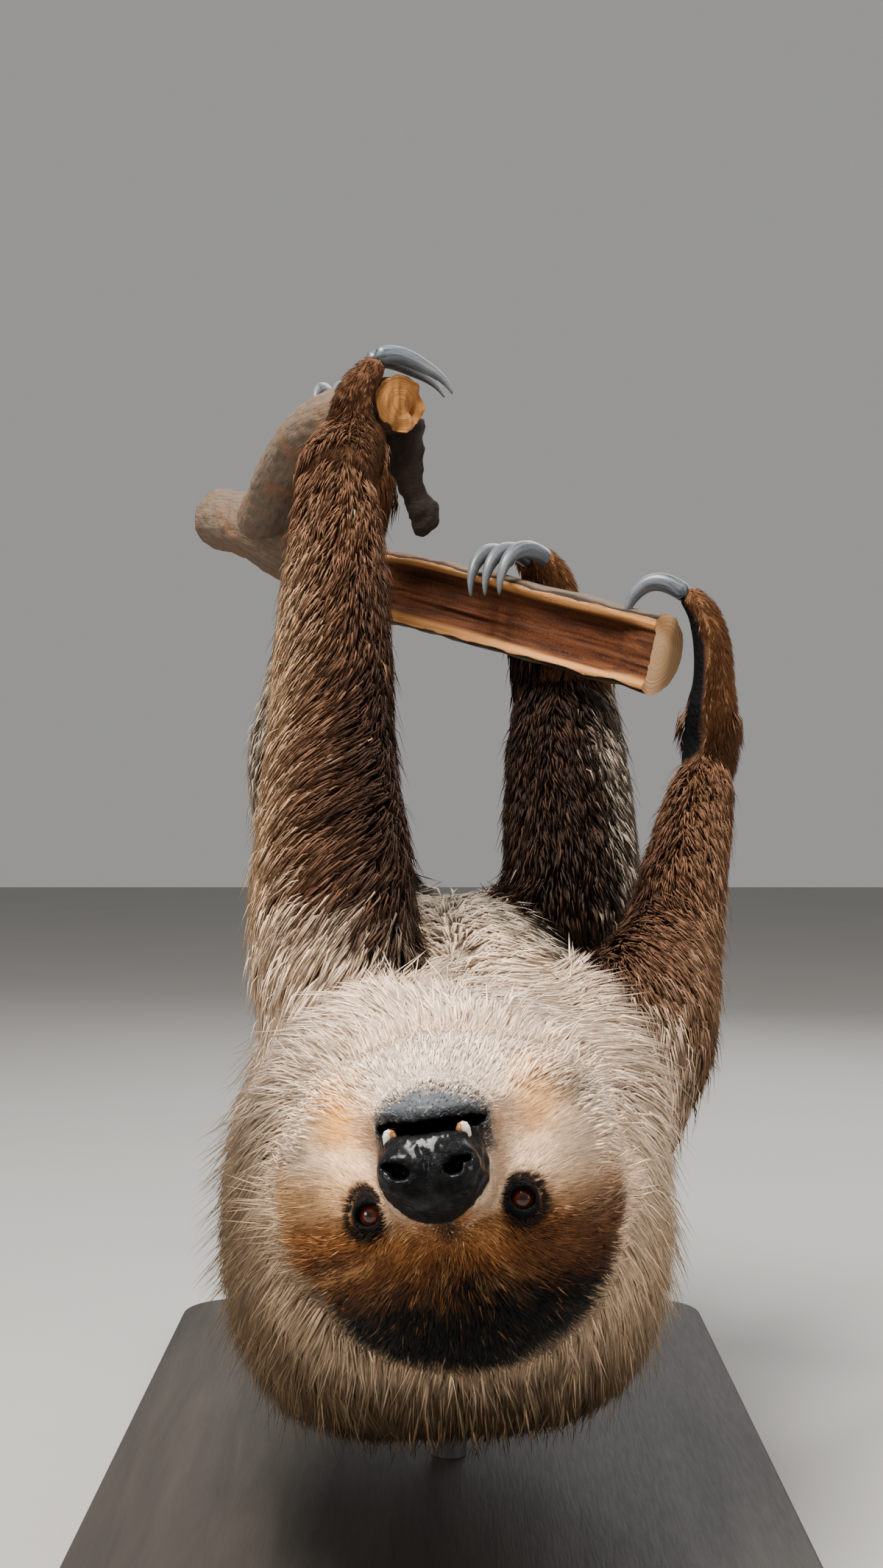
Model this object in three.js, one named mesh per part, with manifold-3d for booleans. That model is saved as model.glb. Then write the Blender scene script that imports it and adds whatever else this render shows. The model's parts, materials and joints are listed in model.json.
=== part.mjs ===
// A life-size two-toed sloth hanging by its four limbs under a forked branch, head towards -Y and belly up,
// held by a flat base with one post. Millimetres, +Z up, origin under the middle of the whole thing.
// The animal's solids reach out to the tips of its coat.
import * as THREE from 'three';
import { mergeVertices } from 'three/addons/utils/BufferGeometryUtils.js';
import Module from 'manifold-3d';

const wasm = await Module();
wasm.setup();
const { Manifold } = wasm;

// ---------- Driving dimensions ----------
// Posing frame: x to the right, y from the eyes towards the rump, z up from the level of the shoulders' top.
const EYE_HEIGHT = -136.6; // z of the point midway between the eyes
const FLOOR = -332; // z of the surface that the base lies on
const ORIGIN = new THREE.Vector3(0, 301.5, FLOOR); // the part's own origin, in the posing frame
const GAP = 0.4; // width of the thin cuts between neighbouring pieces
const HALF_GAP = GAP / 2;

// Head
const HEAD_PITCH = THREE.MathUtils.degToRad(8); // nose raised
const HEAD_ROLL = THREE.MathUtils.degToRad(-7.3);
const HEAD_YAW = THREE.MathUtils.degToRad(-5);
const HEAD_DETAIL = 7; // subdivisions of the sphere that is drawn in onto the head's field
const EYE_RADIUS = 6.2;
const EYE_SPREAD = 24.3; // from the middle of the face to each eye's centre
const MOUTH_LEVEL = 26; // local z of the slit between the lips
const MOUTH_OPEN = 3.4;
const MOUTH_DEPTH = 24;
const TOOTH_SPREAD = 11.5;

// Perch: a cut, forked branch. The lower arm is a log with one side split off and hollowed.
const LOG_RADIUS = 20.5;
const LOG_FLAT = 9.5; // from the log's axis to its split face
const LOG_END = [112, 415, 66];
const LOG_MIDDLE = [0, 505, 103];
const LOG_BACK = [-62, 553, 122];
const BRANCH_RADIUS = 14;
const BRANCH_END = [-19, 385, 190];
const BRANCH_MIDDLE = [-70, 452, 187];
const CROTCH = [-106, 560, 148];
const STEM_END = [-131, 596, 158];

// Stand
const BASE = { width: 312, length: 560, thick: 14, corner: 34, middleY: 366 };
const POST_RADIUS = 9;
const POST_AT = [-62, 560];
const ROD_RADIUS = 8; // the short rod that takes the weight of the back
const ROD_AT = [4, 330];

// ---------- Materials ----------
const finish = (color, roughness, metalness = 0) =>
  new THREE.MeshStandardMaterial({ color, roughness, metalness });
const materials = {
  paleCoat: finish(0xc9b396, 0.95),
  brownCoat: finish(0x5e4030, 0.95),
  crown: finish(0x6b4526, 0.95),
  muzzle: finish(0x1b1c1f, 0.35),
  eye: finish(0x2a0f0a, 0.08),
  claw: finish(0x6f7a86, 0.45),
  tooth: finish(0xc99a5e, 0.4),
  bark: finish(0x7a6a5c, 0.95),
  wood: finish(0xb8763e, 0.75),
  stand: finish(0x35383b, 0.5, 0.3),
};

const group = new THREE.Group();
group.position.copy(ORIGIN).negate();

// ---------- From shapes to named meshes ----------
function solidOf(geometry) {
  const bare = geometry.clone();
  bare.deleteAttribute('normal');
  bare.deleteAttribute('uv');
  const merged = mergeVertices(bare, 1e-3);
  return new Manifold(new wasm.Mesh({
    numProp: 3,
    vertProperties: merged.attributes.position.array,
    triVerts: new Uint32Array(merged.index.array),
  }));
}

function addNode(name, solid, material) {
  const mesh = solid.getMesh();
  const geometry = new THREE.BufferGeometry();
  geometry.setAttribute('position', new THREE.BufferAttribute(new Float32Array(mesh.vertProperties), 3));
  geometry.setIndex(new THREE.BufferAttribute(new Uint32Array(mesh.triVerts), 1));
  geometry.computeVertexNormals();
  const node = new THREE.Mesh(geometry, material);
  node.name = name;
  group.add(node);
}

const vector = (p) => new THREE.Vector3(...p);
const mix = (a, b, t) => a.map((value, i) => value + (b[i] - value) * t);

// Rows of numbers joined by a uniform Catmull-Rom curve, read at u from 0 to the last row.
function along(rows, u) {
  const last = rows.length - 1;
  const i = Math.min(Math.floor(u), last - 1);
  const t = u - i;
  const b = rows[i];
  const c = rows[i + 1];
  const a = rows[i - 1] ?? mix(c, b, 2);
  const d = rows[i + 2] ?? mix(b, c, 2);
  return b.map((_, k) => 0.5 * (2 * b[k] + (c[k] - a[k]) * t
    + (2 * a[k] - 5 * b[k] + 4 * c[k] - d[k]) * t * t
    + (3 * b[k] - a[k] - 3 * c[k] + d[k]) * t * t * t));
}

// A closed round body through elliptical rings. Each row is x, y, z and the half-widths along `across`
// and at right angles to it. Both ends are rounded by `cap` times the end ring's smaller half-width.
// `square` is the superellipse exponent of the half that lies along the other axis (2 is a plain ellipse).
function loft(rows, { sides = 14, steps = 6, across = [1, 0, 0], cap = 0.9, capRings = 3, grow = 0, square = 2 }) {
  const last = rows.length - 1;
  const rings = [];
  const frameAt = (u) => {
    const [x, y, z, wide, deep] = along(rows, u);
    const before = vector(along(rows, Math.max(0, u - 0.02)));
    const after = vector(along(rows, Math.min(last, u + 0.02)));
    const tangent = after.sub(before).normalize();
    const side = vector(across).addScaledVector(tangent, -vector(across).dot(tangent)).normalize();
    const other = tangent.clone().cross(side);
    return { centre: new THREE.Vector3(x, y, z), tangent, side, other, wide: wide + grow, deep: deep + grow };
  };
  const addCap = (u, sign) => {
    const f = frameAt(u);
    const reach = cap * Math.min(f.wide, f.deep);
    const made = [];
    for (let k = 1; k < capRings; k++) {
      const angle = (k / capRings) * Math.PI / 2;
      made.push({
        ...f,
        centre: f.centre.clone().addScaledVector(f.tangent, sign * reach * Math.sin(angle)),
        wide: f.wide * Math.cos(angle),
        deep: f.deep * Math.cos(angle),
      });
    }
    return { made, pole: f.centre.clone().addScaledVector(f.tangent, sign * reach) };
  };
  const start = addCap(0, -1);
  const end = addCap(last, 1);
  rings.push(...start.made.reverse());
  for (let k = 0; k <= steps; k++) rings.push(frameAt((k / steps) * last));
  rings.push(...end.made);

  const positions = [start.pole.toArray()];
  for (const ring of rings) {
    for (let s = 0; s < sides; s++) {
      const angle = (s / sides) * 2 * Math.PI;
      const cos = Math.cos(angle);
      const sin = Math.sin(angle);
      const n = sin > 0 ? square : 2;
      const bulge = (Math.abs(cos) ** n + Math.abs(sin) ** n) ** (-1 / n);
      positions.push(ring.centre.clone()
        .addScaledVector(ring.side, ring.wide * cos * bulge)
        .addScaledVector(ring.other, ring.deep * sin * bulge).toArray());
    }
  }
  positions.push(end.pole.toArray());
  const index = [];
  const at = (ring, s) => 1 + ring * sides + (s % sides);
  const poleEnd = positions.length - 1;
  for (let s = 0; s < sides; s++) {
    index.push(0, at(0, s + 1), at(0, s));
    index.push(poleEnd, at(rings.length - 1, s), at(rings.length - 1, s + 1));
    for (let r = 0; r < rings.length - 1; r++) {
      index.push(at(r, s), at(r, s + 1), at(r + 1, s + 1));
      index.push(at(r, s), at(r + 1, s + 1), at(r + 1, s));
    }
  }
  const geometry = new THREE.BufferGeometry();
  geometry.setAttribute('position', new THREE.BufferAttribute(new Float32Array(positions.flat()), 3));
  geometry.setIndex(index);
  return solidOf(geometry);
}

// The half of a solid on the side that `normal` points to, short of the plane by half a gap.
function keepSide(solid, point, normal) {
  const n = vector(normal).normalize();
  return solid.trimByPlane(n.toArray(), n.dot(vector(point)) + HALF_GAP);
}

function box(size, middle) {
  return solidOf(new THREE.BoxGeometry(...size).translate(...middle));
}

// ---------- Trunk and neck ----------
// Rows: x, y, z, half-width, half-height, from the nape past the chest and the belly to the rump.
const TORSO = [
  [3, 42, -147, 42, 42],
  [4, 84, -148, 69, 67],
  [6, 128, -150, 84, 84],
  [5, 195, -165, 93, 104],
  [5, 275, -160, 95, 111],
  [4, 355, -153, 94, 111],
  [3, 430, -146, 90, 102],
  [3, 496, -139, 76, 82],
];
const HANG = 2.8; // squareness of the lower half, where long hair hangs from the flanks
const NECK_FRONT = [3, 66, -147]; // where the head's piece ends
const NECK_BACK = [6, 112, -150]; // where the trunk's piece begins
const torsoLoft = (grow) => loft(TORSO, { sides: 22, steps: 15, cap: 0.62, capRings: 4, grow, square: HANG });

// ---------- Head ----------
// The head's own frame has its origin midway between the eyes: x right, y back, z towards the chin.
const headMatrix = new THREE.Matrix4()
  .makeRotationFromEuler(new THREE.Euler(-HEAD_PITCH, HEAD_ROLL, HEAD_YAW, 'YZX'))
  .setPosition(1.7, 0, EYE_HEIGHT);
const onHead = (solid) => solid.transform(headMatrix.elements);

const blend = (a, b, k) => {
  const h = Math.max(k - Math.abs(a - b), 0) / k;
  return Math.min(a, b) - h * h * k / 4;
};
function ellipsoid(p, centre, radii) {
  const q = p.map((value, i) => (value - centre[i]) / radii[i]);
  const near = Math.hypot(...q);
  const slope = Math.hypot(...q.map((value, i) => value / radii[i]));
  return near * (near - 1) / slope;
}

// Signed distance, negative inside, to the furred head.
function headField(p) {
  const mirrored = [Math.abs(p[0]), p[1], p[2]];
  const cranium = ellipsoid(p, [0, 42, -12], [56, 49, 47]);
  const cheek = ellipsoid(mirrored, [31, 30, 10], [26, 33, 33]);
  const throat = ellipsoid(p, [0, 32, 30], [42, 44, 27]);
  const bridge = ellipsoid(p, [0, 4, 4], [15, 30, 17]);
  const snout = ellipsoid(p, [0, 0, 16], [20, 40, 22]);
  const nose = ellipsoid(p, [0, -22, 13], [17.5, 24, 16]);
  const chin = ellipsoid(p, [0, -12, 28], [16.5, 26, 13.5]);
  const socket = ellipsoid(mirrored, [EYE_SPREAD + 3, -11, 0.5], [10.5, 10.5, 9.5]);
  const skull = blend(blend(cranium, cheek, 14), throat, 16);
  const muzzle = blend(blend(blend(bridge, snout, 8), nose, 6), chin, 5);
  return -blend(-blend(skull, muzzle, 8), socket, 5);
}

// A sphere's vertices drawn in along their rays until they meet the field's surface.
function wrap(field, centre, reach, detail) {
  const geometry = mergeVertices(stripped(new THREE.IcosahedronGeometry(1, detail)), 1e-5);
  const position = geometry.attributes.position;
  const ray = new THREE.Vector3();
  for (let i = 0; i < position.count; i++) {
    ray.fromBufferAttribute(position, i).normalize();
    let inside = 0;
    let outside = reach;
    for (let n = 0; n < 22; n++) {
      const middle = (inside + outside) / 2;
      const value = field(centre.map((c, k) => c + ray.getComponent(k) * middle));
      if (value < 0) inside = middle;
      else outside = middle;
    }
    position.setXYZ(i, ...centre.map((c, k) => c + ray.getComponent(k) * inside));
  }
  return solidOf(geometry);
}
function stripped(geometry) {
  geometry.deleteAttribute('normal');
  geometry.deleteAttribute('uv');
  return geometry;
}

const ball = (radius, centre, detail = 2) =>
  solidOf(new THREE.IcosahedronGeometry(radius, detail).translate(...centre));

const eyeCentre = (side) => [side * EYE_SPREAD, 2.5, 0];
const earShape = (side, grow) => {
  const rows = [
    [side * 47, 62, 2, 6 + grow, 3 + grow],
    [side * 53, 66, -2, 10 + grow, 3.2 + grow],
    [side * 56.5, 70, -7, 7.5 + grow, 2.4 + grow],
  ];
  return loft(rows, { sides: 8, steps: 3, across: [0, 0.6, 0.8], cap: 0.9, capRings: 2 });
};
const toothShape = (side, grow) => loft([
  [side * TOOTH_SPREAD, -33.5, MOUTH_LEVEL - 3.2, 2.1 + grow, 1.9 + grow],
  [side * TOOTH_SPREAD, -34.5, MOUTH_LEVEL - 0.6, 1.9 + grow, 1.7 + grow],
  [side * TOOTH_SPREAD, -35, MOUTH_LEVEL + 1.1, 0.9 + grow, 0.8 + grow],
], { sides: 6, steps: 3, cap: 0.5, capRings: 1 });

function headPieces() {
  const sides = { left: -1, right: 1 };
  let whole = wrap(headField, [0, 8, 8], 120, HEAD_DETAIL);
  for (const side of Object.values(sides)) {
    whole = whole.subtract(ball(EYE_RADIUS + GAP, eyeCentre(side))).subtract(earShape(side, GAP));
  }
  const jawTop = MOUTH_LEVEL + MOUTH_OPEN / 2;
  const jawSpace = (grow) => box([38 + 2 * grow, 66 + 2 * grow, 60 + 2 * grow], [0, -37, jawTop + 30]);
  const slit = box([46, 60, MOUTH_OPEN + 0.6], [0, -75 + MOUTH_DEPTH, MOUTH_LEVEL]);
  let jaw = whole.intersect(jawSpace(0));
  let head = whole.subtract(jawSpace(GAP)).subtract(slit);
  for (const side of Object.values(sides)) {
    const toothRoom = toothShape(side, GAP);
    jaw = jaw.subtract(toothRoom);
    head = head.subtract(toothRoom);
  }
  for (const [name, side] of Object.entries(sides)) {
    addNode(`eye_${name}`, onHead(ball(EYE_RADIUS, eyeCentre(side))), materials.eye);
    addNode(`ear_${name}`, onHead(earShape(side, 0)), materials.brownCoat);
    addNode(`tooth_${name}`, onHead(toothShape(side, 0)), materials.tooth);
  }
  addNode('jaw', onHead(jaw), materials.muzzle);
  return onHead(head);
}

// The head's back, the neck and the trunk are one body, parted by two upright cuts.
function addTorso(head) {
  const torso = torsoLoft(0);
  const earRoom = onHead(earShape(-1, GAP)).add(onHead(earShape(1, GAP)));
  const faceFront = keepSide(head, NECK_FRONT, [0, -1, 0]);
  const headGrown = onHead(wrap(headField, [0, 8, 8], 120, 5));
  const neck = keepSide(keepSide(torso, NECK_FRONT, [0, 1, 0]), NECK_BACK, [0, -1, 0]);
  const napeCut = keepSide(headGrown, NECK_FRONT, [0, 1, 0]);
  addNode('head', faceFront, materials.crown);
  addNode('neck', neck.add(keepSide(napeCut, NECK_BACK, [0, -1, 0])).subtract(earRoom), materials.paleCoat);
  addNode('trunk', keepSide(torso, NECK_BACK, [0, 1, 0]), materials.paleCoat);
}

// ---------- Limbs ----------
// A limb is a chain of joints. Each piece between two joints has rows of half-widths and half-depths
// spread evenly along it, and the pieces are parted at the joints by planes.
const LIMBS = {
  arm_left: {
    joints: [[-41, 146, -108], [-48, 245, 14], [-50, 350, 149]],
    names: ['upper_arm_left', 'forearm_left'],
    girths: [[[30, 32], [37, 37], [35, 34], [30, 31]], [[30, 31], [28.5, 28], [25, 24], [20, 19]]],
  },
  arm_right: {
    joints: [[64, 152, -126], [104, 300, -80], [138, 425, 12]],
    names: ['upper_arm_right', 'forearm_right'],
    girths: [[[32, 34], [38, 40], [34, 36], [27, 31]], [[27, 31], [23.5, 28], [20, 23], [16, 17]]],
  },
  leg_left: {
    joints: [[-32, 476, -122], [-70, 418, 6], [-51, 474, 136]],
    names: ['thigh_left', 'shank_left'],
    girths: [[[36, 40], [42, 46], [37, 39], [32, 33]], [[32, 33], [30, 31], [27, 27], [20, 19]]],
  },
  leg_right: {
    joints: [[40, 478, -124], [66, 398, -64], [67, 494, 54]],
    names: ['thigh_right', 'shank_right'],
    girths: [[[36, 40], [44, 48], [42, 42], [37, 37]], [[37, 37], [36, 36], [33, 31], [27, 22]]],
  },
};
const segmentRows = (from, to, girths) => girths.map(([wide, deep], i) => [
  ...mix(from, to, i / (girths.length - 1)), wide, deep,
]);

// Half-way plane between the directions into and out of a joint.
function jointNormal(before, joint, after) {
  const into = vector(joint).sub(vector(before)).normalize();
  const out = vector(after).sub(vector(joint)).normalize();
  return into.add(out).normalize().toArray();
}

function addLimb(limb, knuckles, room) {
  const chain = [...limb.joints, knuckles];
  limb.names.forEach((name, i) => {
    let piece = loft(segmentRows(chain[i], chain[i + 1], limb.girths[i]), { sides: 12, steps: 5, capRings: 2 });
    if (i > 0) piece = keepSide(piece, chain[i], jointNormal(chain[i - 1], chain[i], chain[i + 1]));
    const normal = jointNormal(chain[i], chain[i + 1], chain[i + 2]).map((v) => -v);
    piece = keepSide(piece, chain[i + 1], normal);
    for (const other of room) piece = piece.subtract(other);
    addNode(name, largest(piece), materials.brownCoat);
  });
}

// The biggest of the bodies that a cut leaves, without its slivers.
function largest(solid) {
  return solid.decompose().reduce((best, body) => (body.volume() > best.volume() ? body : best));
}

// ---------- Hands, feet and claws ----------
// A grip is a frame round the perch: `out` points from its axis to the palm, `up` is square to it.
function gripFrame(centre, outward) {
  const out = vector(outward).normalize();
  const up = new THREE.Vector3(0, 0, 1);
  up.addScaledVector(out, -up.dot(out)).normalize();
  const side = out.clone().cross(up);
  return (h, v, w = 0) => vector(centre)
    .addScaledVector(out, h).addScaledVector(up, v).addScaledVector(side, w).toArray();
}
const sideOf = (outward) => vector(outward).cross(new THREE.Vector3(0, 0, 1)).normalize().toArray();

// Claw: an arc of the grip's plane about the perch's axis, thick at its root and sharp at its tip.
// `inner` lists the clearance from that axis, from root to tip.
function clawShape(place, { from, to, inner, offset, thick, spread = 1.25 }) {
  const rows = [];
  const count = 6;
  for (let i = 0; i <= count; i++) {
    const t = i / count;
    const angle = THREE.MathUtils.degToRad(from + (to - from) * t);
    const half = thick * (1 - 0.87 * t ** 1.9);
    const radius = along(inner.map((value) => [value]), t * (inner.length - 1))[0] + half;
    const point = place(radius * Math.cos(angle), radius * Math.sin(angle), offset * (spread - 0.25 * t));
    rows.push([...point, half * 0.8, half]);
  }
  return rows;
}

// Each row of a hand or foot is out, up and sideways in its grip, then half-width and half-thickness.
// `girth` is the same pair at the wrist or ankle.
const GRIPS = {
  hand_left: {
    limb: 'arm_left', centre: [-20, 391, 188.5], outward: [-0.93, -0.37, 0], claws: 2, clawGap: 11,
    girth: [19, 17], rows: [[26, -19, 0, 18, 14], [25, 4, 0, 16, 12.5], [15, 20, 0, 13.5, 9]],
    claw: { from: 60, to: 161, inner: [24, 19.8, 26], thick: 4.1 },
  },
  hand_right: {
    limb: 'arm_right', centre: [103, 425, 68], outward: [0.985, -0.17, 0], claws: 2, clawGap: 11,
    girth: [16, 16], rows: [[36, -30, 0, 15, 13.5], [37, -4, 0, 15, 12.5], [33, 18, 0, 14, 11], [25, 29, 0, 12.5, 8.5]],
    claw: { from: 54, to: 110, inner: [34, 33, 20.9], thick: 4.2 },
  },
  foot_left: {
    limb: 'leg_left', centre: [-54, 436, 186.5], outward: [0.35, 0.94, 0], claws: 3, clawGap: 9.5,
    girth: [20, 18], rows: [[36, -22, 0, 18, 14.5], [34, 2, 0, 16.5, 12], [20, 21.5, 0, 14.5, 8.5]],
    claw: { from: 50, to: 122, inner: [19, 17, 15.5], thick: 4.4 },
  },
  foot_right: {
    limb: 'leg_right', centre: [36, 476, 91], outward: [0.626, 0.78, 0], claws: 3, clawGap: 9.5,
    girth: [26, 22], rows: [[42, -8, 0, 21, 17], [38, 20, 0, 17.5, 14], [23, 34, 0, 15, 10]],
    claw: { from: 62, to: 154, inner: [32, 30, 22], thick: 4.5 },
  },
};

function addExtremity(name, grip, perchRoom) {
  const place = gripFrame(grip.centre, grip.outward);
  const across = sideOf(grip.outward);
  const rows = grip.rows.map(([h, v, w, wide, deep]) => [...place(h, v, w), wide, deep]);
  const limb = LIMBS[grip.limb];
  const wrist = limb.joints[2];
  const entry = jointNormal(limb.joints[1], wrist, rows[0].slice(0, 3));
  const clawRows = Array.from({ length: grip.claws }, (_, i) => clawShape(place, {
    ...grip.claw, offset: (i - (grip.claws - 1) / 2) * grip.clawGap,
  }));
  let body = loft([[...wrist, ...grip.girth], ...rows], { sides: 10, steps: 7, across, cap: 0.8, capRings: 2 });
  body = keepSide(body, wrist, entry);
  for (const claw of clawRows) body = body.subtract(loft(claw, { sides: 7, steps: 6, across, cap: 0.4, capRings: 1, grow: GAP }));
  addNode(name, largest(body.subtract(perchRoom)), materials.brownCoat);
  clawRows.forEach((claw, i) => {
    const solid = loft(claw, { sides: 7, steps: 6, across, cap: 0.4, capRings: 1 }).subtract(perchRoom);
    addNode(`claw_${name}_${i + 1}`, largest(solid), materials.claw);
  });
  return rows;
}

// ---------- Perch ----------
const LOG_AXIS = [LOG_END, LOG_MIDDLE, LOG_BACK, CROTCH, STEM_END];
const BRANCH_AXIS = [BRANCH_END, BRANCH_MIDDLE, CROTCH];
const withGirth = (points, girths, grow = 0) => points.map((p, i) => [...p, girths[i] + grow, girths[i] + grow]);
const logDirection = vector(LOG_MIDDLE).sub(vector(LOG_END)).normalize();
const branchDirection = vector(BRANCH_MIDDLE).sub(vector(BRANCH_END)).normalize();
const splitNormal = [logDirection.y, -logDirection.x, 0].map((v) => -v / Math.hypot(logDirection.x, logDirection.y));

// The whole log and branch reach a little past their sawn ends and are cut square there.
function roundLog(grow) {
  const start = vector(LOG_END).addScaledVector(logDirection, -14).toArray();
  const rows = withGirth([start, ...LOG_AXIS.slice(1)], [20.5, 20.5, 19.5, 18.5, 18], grow);
  const whole = loft(rows, { sides: 16, steps: 10, across: [0, 0, 1], cap: 0.1, capRings: 1 });
  return keepSide(whole, vector(LOG_END).addScaledVector(logDirection, -grow).toArray(), logDirection.toArray());
}
function roundBranch(grow) {
  const start = vector(BRANCH_END).addScaledVector(branchDirection, -10).toArray();
  const rows = withGirth([start, ...BRANCH_AXIS.slice(1)], [14.6, 13.5, 15], grow);
  const whole = loft(rows, { sides: 12, steps: 7, across: [0, 0, 1], cap: 0.6, capRings: 2 });
  return keepSide(whole, vector(BRANCH_END).addScaledVector(branchDirection, -grow).toArray(), branchDirection.toArray());
}

function addPerch() {
  // The split face and its shallow trough stop where the log bends up to the fork.
  const middle = vector(LOG_END).addScaledVector(logDirection, 90);
  const turn = Math.atan2(logDirection.y, logDirection.x);
  const rise = Math.asin(logDirection.z);
  const facing = (size, off) => solidOf(new THREE.BoxGeometry(...size)
    .rotateY(-rise).rotateZ(turn)
    .translate(...middle.clone().addScaledVector(vector(splitNormal), off).toArray()));
  const splitLength = 200;
  const slab = facing([splitLength, 40, 60], LOG_FLAT + 20);
  const trough = facing([splitLength - 28, 22, 25], LOG_FLAT);
  const stub = loft([
    [-21, 402, 184, 12.5, 8], [-19, 405, 166, 10, 7], [-14, 409, 148, 6.5, 5.5], [-9, 411, 137, 8, 5], [-11, 413, 127, 2.2, 1.8],
  ], { sides: 7, steps: 6, cap: 0.5, capRings: 1 });
  const log = roundLog(0).subtract(slab).subtract(trough);
  const branch = roundBranch(0).add(stub).subtract(roundLog(GAP));
  addNode('perch_log', log, materials.bark);
  addNode('perch_branch', largest(branch), materials.bark);
  return roundLog(GAP).subtract(facing([splitLength, 40, 60], LOG_FLAT + GAP + 20))
    .add(roundBranch(GAP)).add(stub);
}

// ---------- Stand ----------
function addStand() {
  const { width, length, thick, corner, middleY } = BASE;
  const outline = new THREE.Shape();
  const x = width / 2 - corner;
  const y = length / 2 - corner;
  [[x, y, 0], [-x, y, 90], [-x, -y, 180], [x, -y, 270]].forEach(([cx, cy, from]) => {
    const start = THREE.MathUtils.degToRad(from);
    outline.absarc(cx, cy, corner, start, start + Math.PI / 2, false);
  });
  const plate = new THREE.ExtrudeGeometry(outline, { depth: thick, bevelEnabled: false, curveSegments: 5 })
    .translate(0, middleY, FLOOR);
  addNode('stand_base', solidOf(plate), materials.stand);

  const top = FLOOR + thick + GAP;
  const collarHeight = 12;
  const saddleTop = LOG_BACK[2] - LOG_RADIUS + 1;
  const upright = (radius, low, high, at = POST_AT) => solidOf(
    new THREE.CylinderGeometry(radius, radius, high - low, 20).rotateX(Math.PI / 2)
      .translate(...at, (low + high) / 2));
  const saddle = (grow) => upright(17 + grow, saddleTop - 9 - grow, saddleTop + 8);
  addNode('stand_collar', upright(26, top, top + collarHeight).subtract(upright(POST_RADIUS + GAP, top - 1, top + 20)), materials.stand);
  addNode('stand_post', upright(POST_RADIUS, top, saddleTop - 9 - GAP), materials.stand);
  addNode('stand_saddle', saddle(0).subtract(roundLog(GAP)), materials.stand);
  const rod = upright(ROD_RADIUS, top, -230, ROD_AT).subtract(torsoLoft(GAP));
  addNode('stand_rod', largest(rod), materials.stand);
}

// ---------- The whole ----------
const perchRoom = addPerch();
addStand();
addTorso(headPieces());
const torsoRoom = torsoLoft(GAP);
for (const [name, grip] of Object.entries(GRIPS)) {
  const rows = addExtremity(name, grip, perchRoom);
  const limb = LIMBS[grip.limb];
  addLimb(limb, rows[0].slice(0, 3), [torsoRoom, perchRoom]);
}

export default group;
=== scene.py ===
"""A two-toed sloth hanging under a forked branch, as a still museum model on its display stand."""

import json
import math

import bpy
import numpy as np
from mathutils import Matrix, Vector

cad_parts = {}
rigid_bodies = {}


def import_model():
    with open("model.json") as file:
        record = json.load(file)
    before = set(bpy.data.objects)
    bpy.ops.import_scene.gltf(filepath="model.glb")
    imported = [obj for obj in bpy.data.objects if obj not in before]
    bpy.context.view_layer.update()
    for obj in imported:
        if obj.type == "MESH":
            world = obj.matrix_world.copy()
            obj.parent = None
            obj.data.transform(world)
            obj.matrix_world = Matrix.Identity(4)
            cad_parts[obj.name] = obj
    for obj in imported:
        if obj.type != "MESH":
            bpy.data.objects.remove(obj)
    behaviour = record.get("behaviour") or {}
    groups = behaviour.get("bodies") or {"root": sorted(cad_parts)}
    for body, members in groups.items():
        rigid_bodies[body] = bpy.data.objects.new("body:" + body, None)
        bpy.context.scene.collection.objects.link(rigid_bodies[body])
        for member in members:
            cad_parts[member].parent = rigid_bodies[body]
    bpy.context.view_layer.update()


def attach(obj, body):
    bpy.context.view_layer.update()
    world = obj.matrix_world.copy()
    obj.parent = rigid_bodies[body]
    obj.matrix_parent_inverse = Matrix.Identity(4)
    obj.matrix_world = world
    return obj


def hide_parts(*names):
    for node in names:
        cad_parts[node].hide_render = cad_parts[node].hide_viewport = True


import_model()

# ---------- The room ----------
# The model stands on a plain grey floor in soft studio light: a wide lamp overhead and in front, as an open
# sky would be, weaker ones on each side and behind, and pale air all round. The camera looks level along the
# animal.
EYE_LEVEL, STAND_OFF = 0.332, 1.0045
LENS, SENSOR_WIDTH = 50.0, 36.0
AIM = (0.0, 0.0, 0.28)
LAMPS = {
    # how wide it is, its power, its place and its colour
    "lamp_top": (0.7, 100.0, (-0.35, -0.6, 1.75), (1.0, 0.97, 0.92)),
    "lamp_left": (0.7, 17.0, (-1.5, -1.1, 0.7), (1.0, 0.97, 0.93)),
    "lamp_right": (0.7, 14.0, (1.5, -0.8, 0.6), (1.0, 0.97, 0.93)),
    "lamp_back": (1.2, 22.0, (0.5, 1.5, 1.2), (1.0, 1.0, 1.0)),
}
AIR, AIR_STRENGTH = (0.93, 0.92, 0.9, 1.0), 0.36

camera = bpy.data.objects.new("camera", bpy.data.cameras.new("camera"))
camera.location = (0.0, -STAND_OFF, EYE_LEVEL)
camera.rotation_euler = (math.radians(90), 0.0, 0.0)
camera.data.lens = LENS
camera.data.sensor_width = SENSOR_WIDTH
bpy.context.scene.collection.objects.link(camera)
bpy.context.scene.camera = camera

for name, (size, power, place, colour) in LAMPS.items():
    light = bpy.data.lights.new(name, "AREA")
    light.shape, light.size, light.energy, light.color = "SQUARE", size, power, colour
    holder = bpy.data.objects.new(name, light)
    holder.location = place
    holder.rotation_euler = (Vector(place) - Vector(AIM)).to_track_quat("Z", "Y").to_euler()
    bpy.context.scene.collection.objects.link(holder)

world = bpy.data.worlds.new("air")
world.use_nodes = True
air = world.node_tree.nodes["Background"]
air.inputs["Color"].default_value = AIR
air.inputs["Strength"].default_value = AIR_STRENGTH
bpy.context.scene.world = world

# ---------- The floor ----------
# A seamless sheet of grey matt board lies flat under the stand and runs far past it on every side. It belongs
# to the room and not to the model.
FLOOR_REACH = 6.0


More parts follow.
